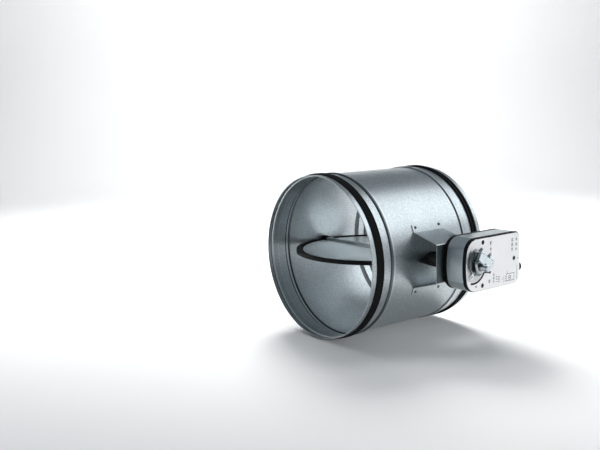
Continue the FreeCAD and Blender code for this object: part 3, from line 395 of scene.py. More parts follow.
def material(name, colour, metallic, roughness, grain=None, bump=None, spread=0.0, specular=0.5):
    """Principled material. grain is (kind, scale, contrast, stretch), bump is (scale, strength)."""
    made = bpy.data.materials.new(name)
    made.use_nodes = True
    tree = made.node_tree
    shader = tree.nodes["Principled BSDF"]
    shader.inputs["Metallic"].default_value = metallic
    shader.inputs["Roughness"].default_value = roughness
    shader.inputs["Specular IOR Level"].default_value = specular
    place = tree.nodes.new("ShaderNodeTexCoord")

    def texture(kind, scale, stretch=EVEN):
        mapping = tree.nodes.new("ShaderNodeMapping")
        mapping.inputs["Scale"].default_value = [scale * part for part in stretch]
        tree.links.new(place.outputs["Object"], mapping.inputs["Vector"])
        node = tree.nodes.new("ShaderNodeTexVoronoi" if kind == "cells" else "ShaderNodeTexNoise")
        node.inputs["Scale"].default_value = 1.0
        if kind != "cells":
            node.inputs["Detail"].default_value = 4.0
        tree.links.new(mapping.outputs["Vector"], node.inputs["Vector"])
        return node

    def ranged(source, low, high):
        node = tree.nodes.new("ShaderNodeMapRange")
        node.inputs["From Min"].default_value, node.inputs["From Max"].default_value = NOISE_RANGE
        node.inputs["To Min"].default_value = low
        node.inputs["To Max"].default_value = high
        tree.links.new(source, node.inputs["Value"])
        return node.outputs["Result"]

    kind, scale, contrast, stretch = grain or PLAIN_GRAIN
    fine = texture(kind, scale, stretch)
    if kind == "cells":
        parts = tree.nodes.new("ShaderNodeSeparateColor")
        tree.links.new(fine.outputs["Color"], parts.inputs["Color"])
        value = parts.outputs["Red"]
    else:
        value = fine.outputs["Fac"]
    mix = tree.nodes.new("ShaderNodeMix")
    mix.data_type = "RGBA"
    mix.inputs["A"].default_value = [part * (1.0 - contrast) for part in colour] + [1.0]
    mix.inputs["B"].default_value = [min(1.0, part * (1.0 + contrast)) for part in colour] + [1.0]
    tree.links.new(ranged(value, 0.0, 1.0), mix.inputs["Factor"])
    tree.links.new(mix.outputs["Result"], shader.inputs["Base Color"])
    if spread:
        broad = texture("noise", BROAD_SCALE)
        varied = ranged(broad.outputs["Fac"], roughness - spread, roughness + spread)
        tree.links.new(varied, shader.inputs["Roughness"])
    if bump:
        relief = texture("noise", bump[0], stretch)
        node = tree.nodes.new("ShaderNodeBump")
        node.inputs["Strength"].default_value = bump[1]
        node.inputs["Distance"].default_value = BUMP_DEPTH * MM
        tree.links.new(relief.outputs["Fac"], node.inputs["Height"])
        tree.links.new(node.outputs["Normal"], shader.inputs["Normal"])
    return made


GALVANISED = material(
    "galvanised_steel", (0.49, 0.535, 0.555), 1.0, 0.37, ("cells", 780.0, 0.15, EVEN), (1500.0, 0.25), 0.04
)
# Much lighter copy of the sheet for the blade's upper plate, a painted highlight
BLADE_HIGHLIGHT_SHEET = material(
    "blade_sheet_painted_highlight", (0.90, 0.95, 0.97), 1.0, 0.34, ("cells", 700.0, 0.08, EVEN), (1300.0, 0.2), 0.04
)
SLEEVE = material("case_sleeve", (0.54, 0.60, 0.625), 1.0, 0.31, SLEEVE_GRAIN, None, 0.02)
# Lighter copy of the sleeve's metal: a painted highlight on the middle of the near face
SLEEVE_HIGHLIGHT = material("sleeve_painted_highlight", (0.68, 0.76, 0.79), 1.0, 0.33, SLEEVE_GRAIN, None, 0.02)
ZINC = material("bright_zinc", (0.74, 0.80, 0.83), 1.0, 0.28, PALE_METAL_GRAIN, (900.0, 0.15), 0.04)
# Darker copy of the zinc for the output hub: painted shade behind the clamp
HUB_SHADED_STEEL = material("hub_steel_painted_shade", (0.20, 0.23, 0.24), 1.0, 0.30, METAL_GRAIN, None, 0.04)
# Darker copy of the zinc for the U-bolt: painted shade behind the saddle
BOLT_SHADED_STEEL = material("bolt_steel_painted_shade", (0.46, 0.50, 0.52), 1.0, 0.26, METAL_GRAIN, None, 0.04)
# Darker and lighter copies of the galvanised sheet: painted shade and painted highlights at the duct's bends
BEND_HIGHLIGHT = material("bend_painted_highlight", (0.60, 0.65, 0.67), 1.0, 0.36, PALE_METAL_GRAIN, None, 0.03)
BEND_HALF_SHADE = material("bend_painted_half_shade", (0.27, 0.30, 0.315), 1.0, 0.40, METAL_GRAIN, None, 0.03)
BEND_SHADE = material("bend_shade", (0.17, 0.19, 0.20), 1.0, 0.42, METAL_GRAIN, None, 0.03)
BEND_DEEP_SHADE = material("bend_painted_deep_shade", (0.09, 0.10, 0.105), 1.0, 0.42, METAL_GRAIN, None, 0.03)
BEND_STRONG_HIGHLIGHT = material("bend_painted_strong_highlight", (0.92, 0.97, 0.99), 1.0, 0.36, PALE_METAL_GRAIN, None, 0.03)
SHAFT_STEEL = material("shaft_steel", (0.66, 0.71, 0.74), 1.0, 0.30, SHAFT_GRAIN, None, 0.03)
DARK_STEEL = material("dark_steel", (0.03, 0.032, 0.034), 0.6, 0.45, None, None, 0.05)
SPRING_STEEL = material("spring_steel", (0.20, 0.22, 0.27), 1.0, 0.35, None, None, 0.05)
BRASS = material("pinion_brass", (0.66, 0.48, 0.20), 1.0, 0.32, None, None, 0.04)
WHITE = material(
    "white_plate", (0.80, 0.80, 0.815), 0.0, 0.38, ("noise", 40.0, 0.015, EVEN), (700.0, 0.05), 0.04
)
RUBBER = material(
    "black_rubber", (0.004, 0.004, 0.0044), 0.0, 0.6, ("noise", 220.0, 0.2, EVEN), (900.0, 0.2), 0.06, 0.15
)
PLASTIC = material(
    "black_plastic", (0.0035, 0.0038, 0.004), 0.0, 0.45, PLASTIC_GRAIN, (2200.0, 0.2), 0.05, 0.15
)
BUSH_PLASTIC = material("bush_plastic", (0.02, 0.022, 0.024), 0.0, 0.36, PLASTIC_GRAIN, None, 0.04, 0.6)
RIVET_STEEL = material("rivet_steel", (0.11, 0.12, 0.125), 0.9, 0.40, None, None, 0.04)
GEAR_PLASTIC = material("gear_plastic", (0.78, 0.75, 0.66), 0.0, 0.40, None, None, 0.04)
BOARD = material("board_green", (0.02, 0.12, 0.05), 0.0, 0.35, None, None, 0.04)
DIAL_GREY = material("dial_grey", (0.58, 0.57, 0.58), 0.0, 0.45, None, None, 0.04)
MARK_GREY = material("mark_grey", (0.03, 0.03, 0.033), 0.0, 0.5, None, None, 0.03)
FLOOR = material("studio_floor", (0.90, 0.90, 0.90), 0.0, 0.9, ("noise", 3.0, 0.01, EVEN))

# The duct's sheet and its darker and lighter copies, painted shade and painted highlights at the bends
SHEET_AND_PAINTED_LIGHT = (GALVANISED, BEND_SHADE, BEND_HIGHLIGHT, BEND_HALF_SHADE, BEND_DEEP_SHADE, BEND_STRONG_HIGHLIGHT)


# Duct shell and gaskets

# Bands of the duct's sheet with painted shade or painted highlights, as (start, end, painted_look) from the
# rim inward, by whether they are inside and whether they are at the front
PAINTED_LIGHT_BANDS = {
    (True, True): (
        (7.0, 9.0, BEND_SHADE), (9.0, 13.0, BEND_STRONG_HIGHLIGHT), (24.6, 28.0, BEND_HIGHLIGHT),
        (44.0, 48.6, BEND_DEEP_SHADE), (48.6, 52.4, BEND_HIGHLIGHT), (52.4, 56.0, BEND_DEEP_SHADE),
    ),
    (True, False): ((7.0, 10.6, BEND_SHADE), (20.0, 28.0, BEND_DEEP_SHADE), (44.0, 56.0, BEND_DEEP_SHADE)),
    (False, True): ((44.0, 50.5, BEND_SHADE), (50.5, 57.0, BEND_HIGHLIGHT)),
    (False, False): ((53.5, 57.0, BEND_HALF_SHADE),),
}


def spigot(rim, inward):
    """Outer and inner corners of the sheet at one end, from the rim inward."""
    radius = DUCT_RADIUS
    bore = radius - SHEET
    groove = radius - GROOVE
    ridge = groove - SHEET
    outer = [
        (radius, 0.0, 0.78), (radius, 11.35, 0.5), (groove, 11.35, 0.5), (groove, 26.25, 0.5),
        (radius, 26.25, 0.5), (radius, 45.0, 0.9), (radius + BEAD, 47.4, 1.0), (radius + BEAD, 50.6, 0.0),
        (radius + BEAD, 53.9, 1.0), (radius, 56.5, 0.9),
    ]
    inner = [
        (bore - SHEET, 0.0, 0.78), (bore - SHEET, 7.0, 0.0), (bore - SHEET, 9.0, 0.3), (bore, 9.05, 0.05),
        (bore, 10.5, 0.3), (ridge, 10.55, 0.4), (ridge, 13.0, 0.0), (ridge, 20.0, 0.0), (ridge, 24.6, 0.0),
        (ridge, 26.6, 0.3), (bore, 27.4, 0.3), (bore, 43.9, 0.7), (bore + BEAD, 46.1, 0.8),
        (bore + BEAD, 48.6, 0.0), (bore + BEAD, 52.4, 0.0), (bore + BEAD, 53.9, 0.8), (bore, 56.1, 0.7),
    ]
    return [[(r, rim + inward * d, bend) for r, d, bend in side] for side in (outer, inner)]


def duct_shell():
    front_outer, front_inner = spigot(FRONT_RIM, 1)
    rear_outer, rear_inner = spigot(REAR_RIM, -1)
    profile = rounded(front_outer + rear_outer[::-1] + rear_inner + front_inner[::-1])
    shape = Shape().lathe(profile, (0, 0, 0), (0, 1, 0), DUCT_STEPS)
    made = piece("duct_shell_sheet", shape, "frame", GALVANISED, "duct_shell")
    # Faces in the listed bands get painted shade or painted highlights
    for painted_look in SHEET_AND_PAINTED_LIGHT[1:]:
        made.data.materials.append(painted_look)
    for face in made.data.polygons:
        centre = face.center / MM
        inside = face.normal.x * centre.x + face.normal.z * centre.z < 0.0
        front = centre.y < 0.0
        depth = centre.y - FRONT_RIM if front else REAR_RIM - centre.y
        for start, end, painted_look in PAINTED_LIGHT_BANDS[inside, front]:
            if start < depth < end:
                face.material_index = SHEET_AND_PAINTED_LIGHT.index(painted_look)


def gasket(name, rim, inward, node):
    """Rubber ring in its groove, with two lips that lean away from the rim."""
    base = DUCT_RADIUS - GROOVE + 0.05
    edge = DUCT_RADIUS + 0.05
    valley = DUCT_RADIUS + 0.9
    crest = DUCT_RADIUS + 3.2
    corners = [
        (base, -7.4, 0.2), (edge, -7.4, 0.1), (edge, -8.2, 0.1), (valley, -8.2, 0.4), (crest, -1.5, 0.6),
        (valley, 0.0, 0.5), (crest, 7.3, 0.6), (edge, 8.2, 0.1), (edge, 7.4, 0.1), (base, 7.4, 0.2),
    ]
    profile = rounded([(r, rim + inward * (GASKET_FROM_RIM + d), bend) for r, d, bend in corners])
    piece(name, Shape().lathe(profile, (0, 0, 0), (0, 1, 0), DUCT_STEPS), "frame", RUBBER, node)


duct_shell()
gasket("front_gasket_rubber", FRONT_RIM, 1, "front_gasket")
gasket("rear_gasket_rubber", REAR_RIM, -1, "rear_gasket")


# Bracket and rivets

def bracket():
    """Hat-shaped sheet whose feet follow the duct, drawn from the middle line of its thickness."""
    half_sheet = BRACKET_SHEET / 2
    middle = DUCT_RADIUS + 0.05 + half_sheet
    lean = (BRACKET_FOOT_HALF - BRACKET_FACE_HALF) / (BRACKET_FACE - BRACKET_FOOT)
    face = BRACKET_FACE - half_sheet
    shoulder = BRACKET_FACE_HALF - half_sheet * (math.hypot(1, lean) - lean)
    foot = Vector((face, shoulder))
    direction = Vector((-1.0, lean)).normalized()
    along = foot.dot(direction)
    foot = foot + direction * (-along - math.sqrt(along ** 2 - foot.length ** 2 + middle ** 2))
    first = math.degrees(math.atan2(foot.y, foot.x))
    last = math.degrees(math.asin(BRACKET_FLANGE_END / middle))
    flange = arc((0, 0), middle, last, first, 0.6)[:-1]
    half = [(p.x, p.y, 0.0) for p in flange] + [(foot.x, foot.y, 2.0), (face, shoulder, 1.8)]
    path = rounded(half + [(x, -z, bend) for x, z, bend in half[::-1]], 12.0, False)
    outline = offset_path(path, half_sheet) + offset_path(path, -half_sheet)[::-1]
    length = levels(-BRACKET_HALF_LENGTH, BRACKET_HALF_LENGTH, 0.3, 0.3, 2)
    made = mesh_object("bracket_sheet", Shape().drawn(outline, length, to_row=along_y))
    slot_outline = flat((181.0, 15.0), (183.0, 15.0), (183.0, 37.0), (181.0, 37.0))
    slot_box = Shape().drawn(slot_outline, levels(20.0, 60.0), to_row=along_z)
    bore = Shape().drawn(circle((0, 0), BRACKET_BORE, 64), levels(BRACKET_FACE - 4, BRACKET_FACE + 2))
    made = dress(cut(made, slot_box, bore), "frame", GALVANISED, ("bracket",))
    # The face plate beside the actuator is painted with shade, a darker copy of the sheet
    made.data.materials.append(BEND_SHADE)
    for side in made.data.polygons:
        if side.normal.x > 0.95 and side.center.x > (BRACKET_FACE - 0.1) * MM:
            side.material_index = 1


def bracket_rivets():
    shape = Shape()
    out = math.sqrt(DUCT_RADIUS ** 2 - RIVET_HEIGHT ** 2)
    profile = [
        (0.0, -2.6), (1.6, -2.6), (1.6, 1.6), (2.9, 1.62), (2.85, 2.05), (2.4, 2.5),
        (1.6, 2.78), (1.1, 2.8), (0.9, 2.7), (0.8, 1.9), (0.0, 1.8),
    ]
    for y in (RIVET_ALONG, -RIVET_ALONG):
        for z in (RIVET_HEIGHT, -RIVET_HEIGHT):
            shape.lathe(profile, (out, y, z), (out, 0, z), 32, False)
    piece("bracket_rivet_set", shape, "frame", RIVET_STEEL, "bracket_rivets")


bracket()
bracket_rivets()


# Actuator case

BOW = 3.0
SLEEVE_INSET = 0.5
# Reach of the near face whose middle gets the painted highlight
NEAR_FACE = -18.9
NEAR_FACE_HALF = 30.0
PLATE_INSET = 1.8
PLATE_SHIFT = Vector((0.7, -0.7))
PAST_CASE = 260.0


def case_outline(depth):
    """Outline of the case moved inward by a depth. Its near side bows between two bend lines."""
    bend = math.degrees(math.acos((NEAR_CENTRE - BEND_LINE) / NEAR_CORNER))
    near_up = CASE_HALF - NEAR_CORNER
    far_out, far_up = CASE_END - FAR_CORNER, CASE_HALF - FAR_CORNER
    upper = arc((NEAR_CENTRE, near_up), NEAR_CORNER - depth, 180 - bend, 90, 4.0)
    upper += arc((far_out, far_up), FAR_CORNER - depth, 90, 0, 6.0)
    lower = arc((far_out, -far_up), FAR_CORNER - depth, 0, -90, 6.0)
    lower += arc((NEAR_CENTRE, -near_up), NEAR_CORNER - depth, -90, bend - 180, 4.0)
    start, end = lower[-1], upper[0]
    bow = []
    for i in range(1, 10):
        part = i / 5.0 - 1.0
        bow.append(Vector((start.x - BOW * (1 - part * part), end.y * part)))
    return (upper + lower + bow)[::-1]


def moved_in(depth):
    return lambda more: case_outline(depth + more)


def plate_outline(depth):
    return [point + PLATE_SHIFT for point in case_outline(PLATE_INSET + depth)]


def actuator_case():
    back, front = REAR_COVER
    tray = levels(back, front, 1.6, 0.4) + [(front, COVER_WALL), (back + COVER_WALL, COVER_WALL)]
    piece("rear_cover_shell", Shape().drawn(case_outline, tray), "frame", PLASTIC, "actuator_rear_cover")

    holes = [(moved_in(SLEEVE_WALL), levels(*HOUSING))]
    sleeve = Shape().drawn(moved_in(SLEEVE_INSET), levels(*HOUSING, 0.15, 0.15, 2), holes)
    made = mesh_object("case_sleeve_sheet", sleeve, KINK)
    dress(made, "frame", SLEEVE, ("actuator_housing",))
    # The flat middle of the near face gets a lighter copy of the sleeve's metal, a painted highlight
    made.data.materials.append(SLEEVE_HIGHLIGHT)
    for side in made.data.polygons:
        near = side.normal.y < -0.95 and side.center.y < NEAR_FACE * MM
        if near and abs(side.center.z) < NEAR_FACE_HALF * MM:
            side.material_index = 1

    back, front = FRONT_COVER
    lid = [(front - COVER_WALL, COVER_WALL), (back, COVER_WALL)] + levels(back, front, 0.4, 0.9)
    made = mesh_object("front_cover_shell", Shape().drawn(case_outline, lid))
    cutters = [Shape().drawn(circle((0, 0), HUB_HOLE, 64), levels(back - 0.55, PAST_CASE))]
    for place in COVER_SCREWS:
        cutters.append(Shape().drawn(circle(place, SCREW_HOLE, 40), levels(SCREW_SEAT, PAST_CASE)))
    dress(cut(made, *cutters), "frame", PLASTIC, ("actuator_front_cover",))

    hole_rim = levels(front, CASE_FACE, 0.0, 0.2, 2, -1.0)
    holes = [(circle((0, 0), HUB_HOLE + 0.1, 72), hole_rim)]
    holes += [(circle(place, SCREW_HOLE, 40), hole_rim) for place in COVER_SCREWS]
    plate = Shape().drawn(plate_outline, levels(front, CASE_FACE, 0.0, 0.25, 3), holes)
    piece("front_plate_sheet", plate, "frame", WHITE, "front_plate")

    profile = [
        (0.0, 255.9), (1.9, 255.9), (2.3, 256.4), (3.5, 256.75), (4.1, 256.5), (4.18, 255.8),
        (1.8, 255.8), (1.8, 243.8), (0.0, 243.8),
    ]
    screws = Shape()
    for y, z in COVER_SCREWS:
        screws.lathe(profile, (0, y, z), (1, 0, 0), 32, False)
    piece("cover_screw_set", screws, "frame", DARK_STEEL, "cover_screws")


actuator_case()


# Dial and plain marks on the front plate

MARK_LAYER = levels(CASE_FACE, CASE_FACE + 0.06)
FIGURE_MIDDLE = CASE_FACE + 0.04
FIGURE_HALF_THICKNESS = 0.03
FIGURE_WEIGHT = 0.035
FONT_SIZE_PER_HEIGHT = 1.37


def sector(inner, outer, first, last, step):
    """Outline of a part of a ring, between two angles in degrees."""
    return arc((0, 0), outer, first, last, step) + arc((0, 0), inner, last, first, step)


def dial():
    """Grey disc, cut straight near the plate's edge, and the raised arc of the travel scale."""
    bore = [(circle((0, 0), 13.3, 72), levels(CASE_FACE, CASE_FACE + 0.2, 0.0, 0.05, 2, -1.0))]
    near = max(point.x for point in case_outline(3.4) if point.x < 0.0 and abs(point.y) < 28.0)
    outline = [Vector((max(point.x, near), point.y)) for point in circle((0, 0), 29.8, 120)]
    disc = Shape().drawn(outline, levels(CASE_FACE, CASE_FACE + 0.2, 0.0, 0.1, 2), bore)
    piece("dial_disc", disc, "frame", DIAL_GREY)
    raised = levels(CASE_FACE, CASE_FACE + 0.45, 0.0, 0.1, 2)
    scale = Shape().drawn(sector(30.6, 34.2, -104.0, -25.0, 2.0), raised)
    piece("dial_arc", scale, "frame", PLASTIC, "travel_scale")


def bar(y, z, width, height):
    """Corners of an upright rectangle on the plate."""
    return flat((y, z), (y + width, z), (y + width, z + height), (y, z + height))


def plate_marks():
    """A plain wiring sketch: a box with a round motor sign, its three leads and their lines."""
    shape = Shape()
    sign = (103.0, -36.0)
    shape.drawn(bar(92.4, -42.0, 24.0, 14.0), MARK_LAYER, [(bar(93.3, -41.1, 22.2, 12.2), MARK_LAYER)])
    shape.drawn(circle(sign, 4.2, 40), MARK_LAYER, [(circle(sign, 3.1, 40), MARK_LAYER)])
    shape.drawn(circle(sign, 1.2, 24), MARK_LAYER)
    for z in (-40.5, -36.5, -32.5):
        shape.drawn(bar(88.0, z - 0.4, 4.4, 0.8), MARK_LAYER)
    shape.drawn(bar(123.6, -42.0, 0.8, 27.0), MARK_LAYER)
    shape.drawn(bar(124.5, -3.0, 6.5, 0.8), MARK_LAYER)
    shape.drawn(bar(94.9, -28.0, 0.8, 6.0), MARK_LAYER)
    piece("plate_sketch", shape, "frame", MARK_GREY)


def number(name, words, y, z, height, turned=False):
    """Plain raised figures on the plate, read upright or from bottom to top."""
    curve = bpy.data.curves.new(name, "FONT")
    curve.body = words
    curve.size = height * FONT_SIZE_PER_HEIGHT * MM
    curve.extrude = FIGURE_HALF_THICKNESS * MM
    curve.offset = height * FIGURE_WEIGHT * MM
    curve.align_x = "CENTER"
    curve.align_y = "CENTER"
    maker = bpy.data.objects.new(name + "_curve", curve)
    bpy.context.scene.collection.objects.link(maker)
    bpy.context.view_layer.update()
    mesh = bpy.data.meshes.new_from_object(maker.evaluated_get(bpy.context.evaluated_depsgraph_get()))
    bpy.data.objects.remove(maker)
    across, upward = Vector((0, 1, 0)), Vector((0, 0, 1))
    if turned:
        across, upward = upward, -across
    axes = Matrix((across, upward, Vector((1, 0, 0)))).transposed().to_4x4()
    mesh.transform(Matrix.Translation(Vector((FIGURE_MIDDLE, y, z)) * MM) @ axes)
    made = bpy.data.objects.new(name, mesh)
    bpy.context.scene.collection.objects.link(made)
    smoothed(mesh)
    dress(made, "frame", MARK_GREY)


def plate_numbers():
    """Plain figures: the dial's angles, the leads' numbers and columns of plain counts."""
    number("angle_figures_0", "0", 38.5, -12.0, 3.6)
    number("angle_figures_90", "90", 7.0, -39.0, 3.6)
    number("range_figures", "0 - 90", 46.6, 31.5, 4.6, True)
    number("half_figures", "45", 44.2, -34.5, 5.0, True)
    number("count_column_1", "10 20 30", 56.6, -30.5, 3.6, True)
    number("count_column_2", "1 2 3", 65.0, -33.5, 4.2, True)
    number("count_column_3", "4 5 6", 71.5, -34.5, 4.2, True)
    number("count_column_4", "1", 80.5, -36.0, 3.2)
    for i, z in enumerate((-40.0, -36.0, -32.0)):
        number("lead_figure_%d" % (i + 1), str(i + 1), 85.0, z - 1.5, 2.4)
    for place, words in enumerate(("10", "20", "30")):
        number("row_figures_" + words, words, 109.0, 16.0 + 9.0 * place, 5.0, True)
        number("column_figures_" + words, words, 121.0, 15.0 + 9.5 * place, 4.2, True)


def travel_arrow():
    """Arrow with two heads beside the clamp."""
    shape = Shape().drawn(bar(46.6, 17.0, 0.8, 6.0), MARK_LAYER)
    shape.drawn(flat((45.3, 17.4), (48.7, 17.4), (47.0, 14.6)), MARK_LAYER)
    shape.drawn(flat((45.3, 22.6), (48.7, 22.6), (47.0, 25.4)), MARK_LAYER)
    piece("travel_arrow", shape, "frame", MARK_GREY)


dial()
plate_marks()
plate_numbers()
travel_arrow()


# Clamp and blade, and the CAD nodes that are kept

# The output hub gets painted shade
keep(HUB_SHADED_STEEL, "output_hub", edge=0.25)
keep(ZINC, "hub_clip", edge=0.25)
keep(ZINC, "case_pillars", "mounting_screws", "gear_axles", "gear_pillars")
keep(PLASTIC, "position_pointer", edge=0.3)
keep(BUSH_PLASTIC, "drive_side_bush", "idle_side_bush", edge=0.3)
keep(PLASTIC, "board_components", "gland_nut")


def saddle_notch():
    """Outline below the saddle's flanges: sloped lower edges and a toothed V over the shaft."""
    apex = (SHAFT_RADIUS + 0.05) * math.sqrt(2)
    side = [(30.0, -8.0), (30.0, 7.1), (SADDLE_HALF, 7.0), (9.6, 4.4)]
    teeth = 6
    reach = apex - 4.0
    for i in range(teeth):
        along = reach * (1 - i / teeth)
        side.append((along, apex - along))
        side.append((along - 0.2 * reach / teeth, apex - along + 0.5))
    side.append((0.35, apex))
    return [Vector(point) for point in side] + [Vector((-y, z)) for y, z in side[::-1]]


def clamp_saddle():
    """Folded channel with a notch over the shaft and a hole for each leg of the bolt."""
    half_sheet = SADDLE_SHEET / 2
    back, front, top = SADDLE_BACK + half_sheet, SADDLE_FRONT - half_sheet, SADDLE_TOP - half_sheet
    path = rounded([(back, 3.0, 0), (back, top, 1.6), (front, top, 1.6), (front, 3.0, 0)], 15.0, False)
    outline = offset_path(path, half_sheet) + offset_path(path, -half_sheet)[::-1]
    width = levels(-SADDLE_HALF, SADDLE_HALF, 0.25, 0.25, 2)
    channel = Shape().drawn(outline, width, to_row=lambda p, d: clamp_frame(p.x, d, p.y))
    notch = Shape().drawn(saddle_notch(), levels(260.0, 290.0), to_row=lambda p, d: clamp_frame(d, p.x, p.y))
    holes = []
    for y in (BOLT_HALF_SPACING, -BOLT_HALF_SPACING):
        hole = circle((BOLT_PLANE, y), 3.2, 32)
        holes.append(Shape().drawn(hole, levels(17.0, 25.0), to_row=along_leg))
    made = cut(mesh_object("clamp_saddle_sheet", channel), notch, *holes)
    dress(eased(made, 0.15), "blade_drive", ZINC, ("clamp_saddle",))


def hexagon(centre, flats):
    """Hexagon whose corners are turned off where the depth is more than nothing."""
    corner = flats / math.sqrt(3)

    def outline(depth):
        points = []
        for i in range(72):
            angle = math.radians(5 * i)
            off = (5 * i + 30) % 60 - 30
            reach = min(flats / 2 / math.cos(math.radians(off)), corner - depth)
            points.append(Vector((centre[0] + reach * math.cos(angle), centre[1] + reach * math.sin(angle))))
        return points

    return outline


def clamp_nuts():
    shape = Shape()
    layers = [(NUT_BACK, 0.75), (NUT_BACK + 0.4, 0.1), (NUT_FRONT - 0.4, 0.1), (NUT_FRONT, 0.75)]
    for y in (BOLT_HALF_SPACING, -BOLT_HALF_SPACING):
        hole = [(circle((BOLT_PLANE, y), 3.05, 72), levels(NUT_BACK, NUT_FRONT, 0.4, 0.4, 1, -1.0))]
        shape.drawn(hexagon((BOLT_PLANE, y), NUT_FLATS), layers, hole, along_leg)
    piece("clamp_nut_set", shape, "blade_drive", ZINC, "clamp_nuts")


clamp_saddle()
clamp_nuts()

LEG_STEP = 0.25
ROD_RADIUS = 2.98
THREADED = 17.0
THREAD_MIDDLE = 2.78
THREAD_SWING = 0.2


def u_bolt():
    """Bent rod: two threaded legs, two slanted parts and a bow under the shaft."""
    shape = Shape()
    reach = SHAFT_RADIUS + 3.05
    shoulder = (BOLT_HALF_SPACING * math.sin(BOLT_SLANT) - reach) / math.cos(BOLT_SLANT)
    low = reach * (1 - math.cos(BOLT_SLANT)) / math.sin(BOLT_SLANT)
    corners = [(BOLT_HALF_SPACING, 31.0, 0), (BOLT_HALF_SPACING, shoulder, 5.0), (low, -reach, reach * 0.98)]
    path = rounded(corners + [(-y, z, bend) for y, z, bend in corners[::-1]], 6.0, False)
    fine = []
    for before, after in zip(path, path[1:]):
        straight = abs(before.x - after.x) < 1e-6
        count = max(1, math.ceil((after - before).length / LEG_STEP)) if straight else 1
        fine += [before.lerp(after, i / count) for i in range(count)]
    fine.append(path[-1])
    total = sum((b - a).length for a, b in zip(fine, fine[1:]))

    def radius(length, angle):
        end = min(length, total - length)
        if end > THREADED:
            return ROD_RADIUS
        taper = min(1.0, 0.75 + end / 2.4)
        return (THREAD_MIDDLE + THREAD_SWING * math.cos(2 * math.pi * length + angle)) * taper

    shape.sweep([clamp_frame(BOLT_PLANE, p.x, p.y) for p in fine], radius, 24)
    # The U-bolt gets painted shade
    piece("u_bolt_rod", shape, "blade_drive", BOLT_SHADED_STEEL, "clamp_u_bolt")


u_bolt()
keep(SHAFT_STEEL, "drive_shaft")
keep(ZINC, "blade_rivets")
# The upper plate is painted lighter, a painted highlight; the lower plate keeps the galvanised sheet
keep(BLADE_HIGHLIGHT_SHEET, "blade_upper_plate", edge=0.35)
keep(GALVANISED, "blade_lower_plate", edge=0.35)
keep(RUBBER, "blade_seal")


def seal_lip():
    """Raised outer lip on both halves of the blade's seal, clear of the shaft."""
    shape = Shape()
    past_shaft = 4.5
    for start in (0.0, 180.0):
        outline = sector(149.0, 155.7, start + past_shaft, start + 180.0 - past_shaft, 1.5)
        shape.drawn(outline, levels(-0.3, 2.8, 0.0, 0.8, 3), to_row=along_z)
    piece("seal_lip", shape, "blade_drive", RUBBER)


seal_lip()
keep(GEAR_PLASTIC, "second_gear", "spring_gear")
keep(BRASS, "motor_pinion")
keep(SLEEVE, "motor", "gear_plate")
keep(SPRING_STEEL, "main_spring")
keep(BOARD, "circuit_board")


# Cable gland

GLAND_FACE = 138.0
CAP_BACK = 138.1
CAP_FRONT = 155.0


def ribbed(centre, radius, ribs, rise):
    """Round outline with ribs along it."""
    def outline(depth):
        points = []
        for i in range(ribs * 8):
            angle = 2 * math.pi * i / (ribs * 8)
            reach = radius - depth + (rise if i % 8 in (0, 1, 2) else 0.0)
            points.append(Vector((centre[0] + reach * math.cos(angle), centre[1] + reach * math.sin(angle))))
        return points

    return outline


def cable_gland():
    """Hexagonal body with a threaded tail, ribbed cap and the rubber ring in the cap's mouth."""
    across, upward = GLAND
    body = Shape()
    bore = [(circle(GLAND, 6.6, 72), levels(GLAND_SEAT, GLAND_FACE))]
    layers = [(GLAND_SEAT, 0.3), (GLAND_SEAT + 0.4, 0.1), (137.2, 0.1), (GLAND_FACE, 1.2)]
    body.drawn(hexagon(GLAND, 17.5), layers, bore, along_y)
    thread = [(3.6, -6.6), (7.3, -6.6)]
    for turn in range(4):
        start = 1.5 * turn - 6.4
        thread += [(7.3, start), (7.85, start + 0.5), (7.85, start + 0.8), (7.3, start + 1.3)]
    thread += [(7.3, 0.2), (3.6, 0.2)]
    body.lathe(thread, (across, GLAND_SEAT, upward), (0, 1, 0), 48)
    piece("gland_body", body, "frame", PLASTIC, "cable_gland")
    cap = Shape()
    layers = [(CAP_BACK, 0.5), (CAP_BACK + 0.4, 0.0), (152.2, 0.3), (154.2, 0.9), (CAP_FRONT, 2.0)]
    mouth = [(circle(GLAND, 5.4, 128), [(CAP_BACK, 0.0), (CAP_FRONT - 0.7, 0.0), (CAP_FRONT, -0.4)])]
    cap.drawn(ribbed(GLAND, 8.7, 16, 0.35), layers, mouth, along_y)
    piece("gland_cap", cap, "frame", PLASTIC)
    profile = [(3.55, 138.2), (5.35, 138.2), (5.35, 153.4), (4.9, 154.0), (4.1, 154.0), (3.55, 153.4)]
    ring = Shape().lathe(profile, (across, 0.0, upward), (0, 1, 0), 48)
    piece("gland_ring", ring, "frame", RUBBER)


cable_gland()


# Floor, light and camera

FLOOR_LEVEL = -160.45
CAMERA_PLACE = (1127.8, -1063.2, 277.8)
CAMERA_AZIMUTH = math.radians(52.1489)
CAMERA_ELEVATION = math.radians(8.3967)
CAMERA_ROLL = math.radians(-1.2427)
CAMERA_LENS = 46.347


def stage():
    """Floor that curves up into a wall behind the object, square to the camera."""
    floor_near, floor_far, bend, side_reach = -2600.0, 2400.0, 700.0, 5000.0
    profile = [Vector((floor_near, FLOOR_LEVEL)), Vector((floor_far, FLOOR_LEVEL))]
    profile += arc((floor_far, FLOOR_LEVEL + bend), bend, -90, 0, 5.0)
    profile.append(Vector((floor_far + bend, 1300.0)))
    aside, ahead = 0.7896, 0.6137
    away = Vector((-aside, ahead, 0.0))
    across = Vector((ahead, aside, 0.0))
    shape = Shape()
    for side in (-side_reach, side_reach):
        shape.ring([away * p.x + across * side + Vector((0, 0, p.y)) for p in profile])
    count = len(profile)
    shape.band(list(range(count)), list(range(count, 2 * count)), False)
    floor = mesh_object("studio_floor", shape)
    floor.data.materials.append(FLOOR)


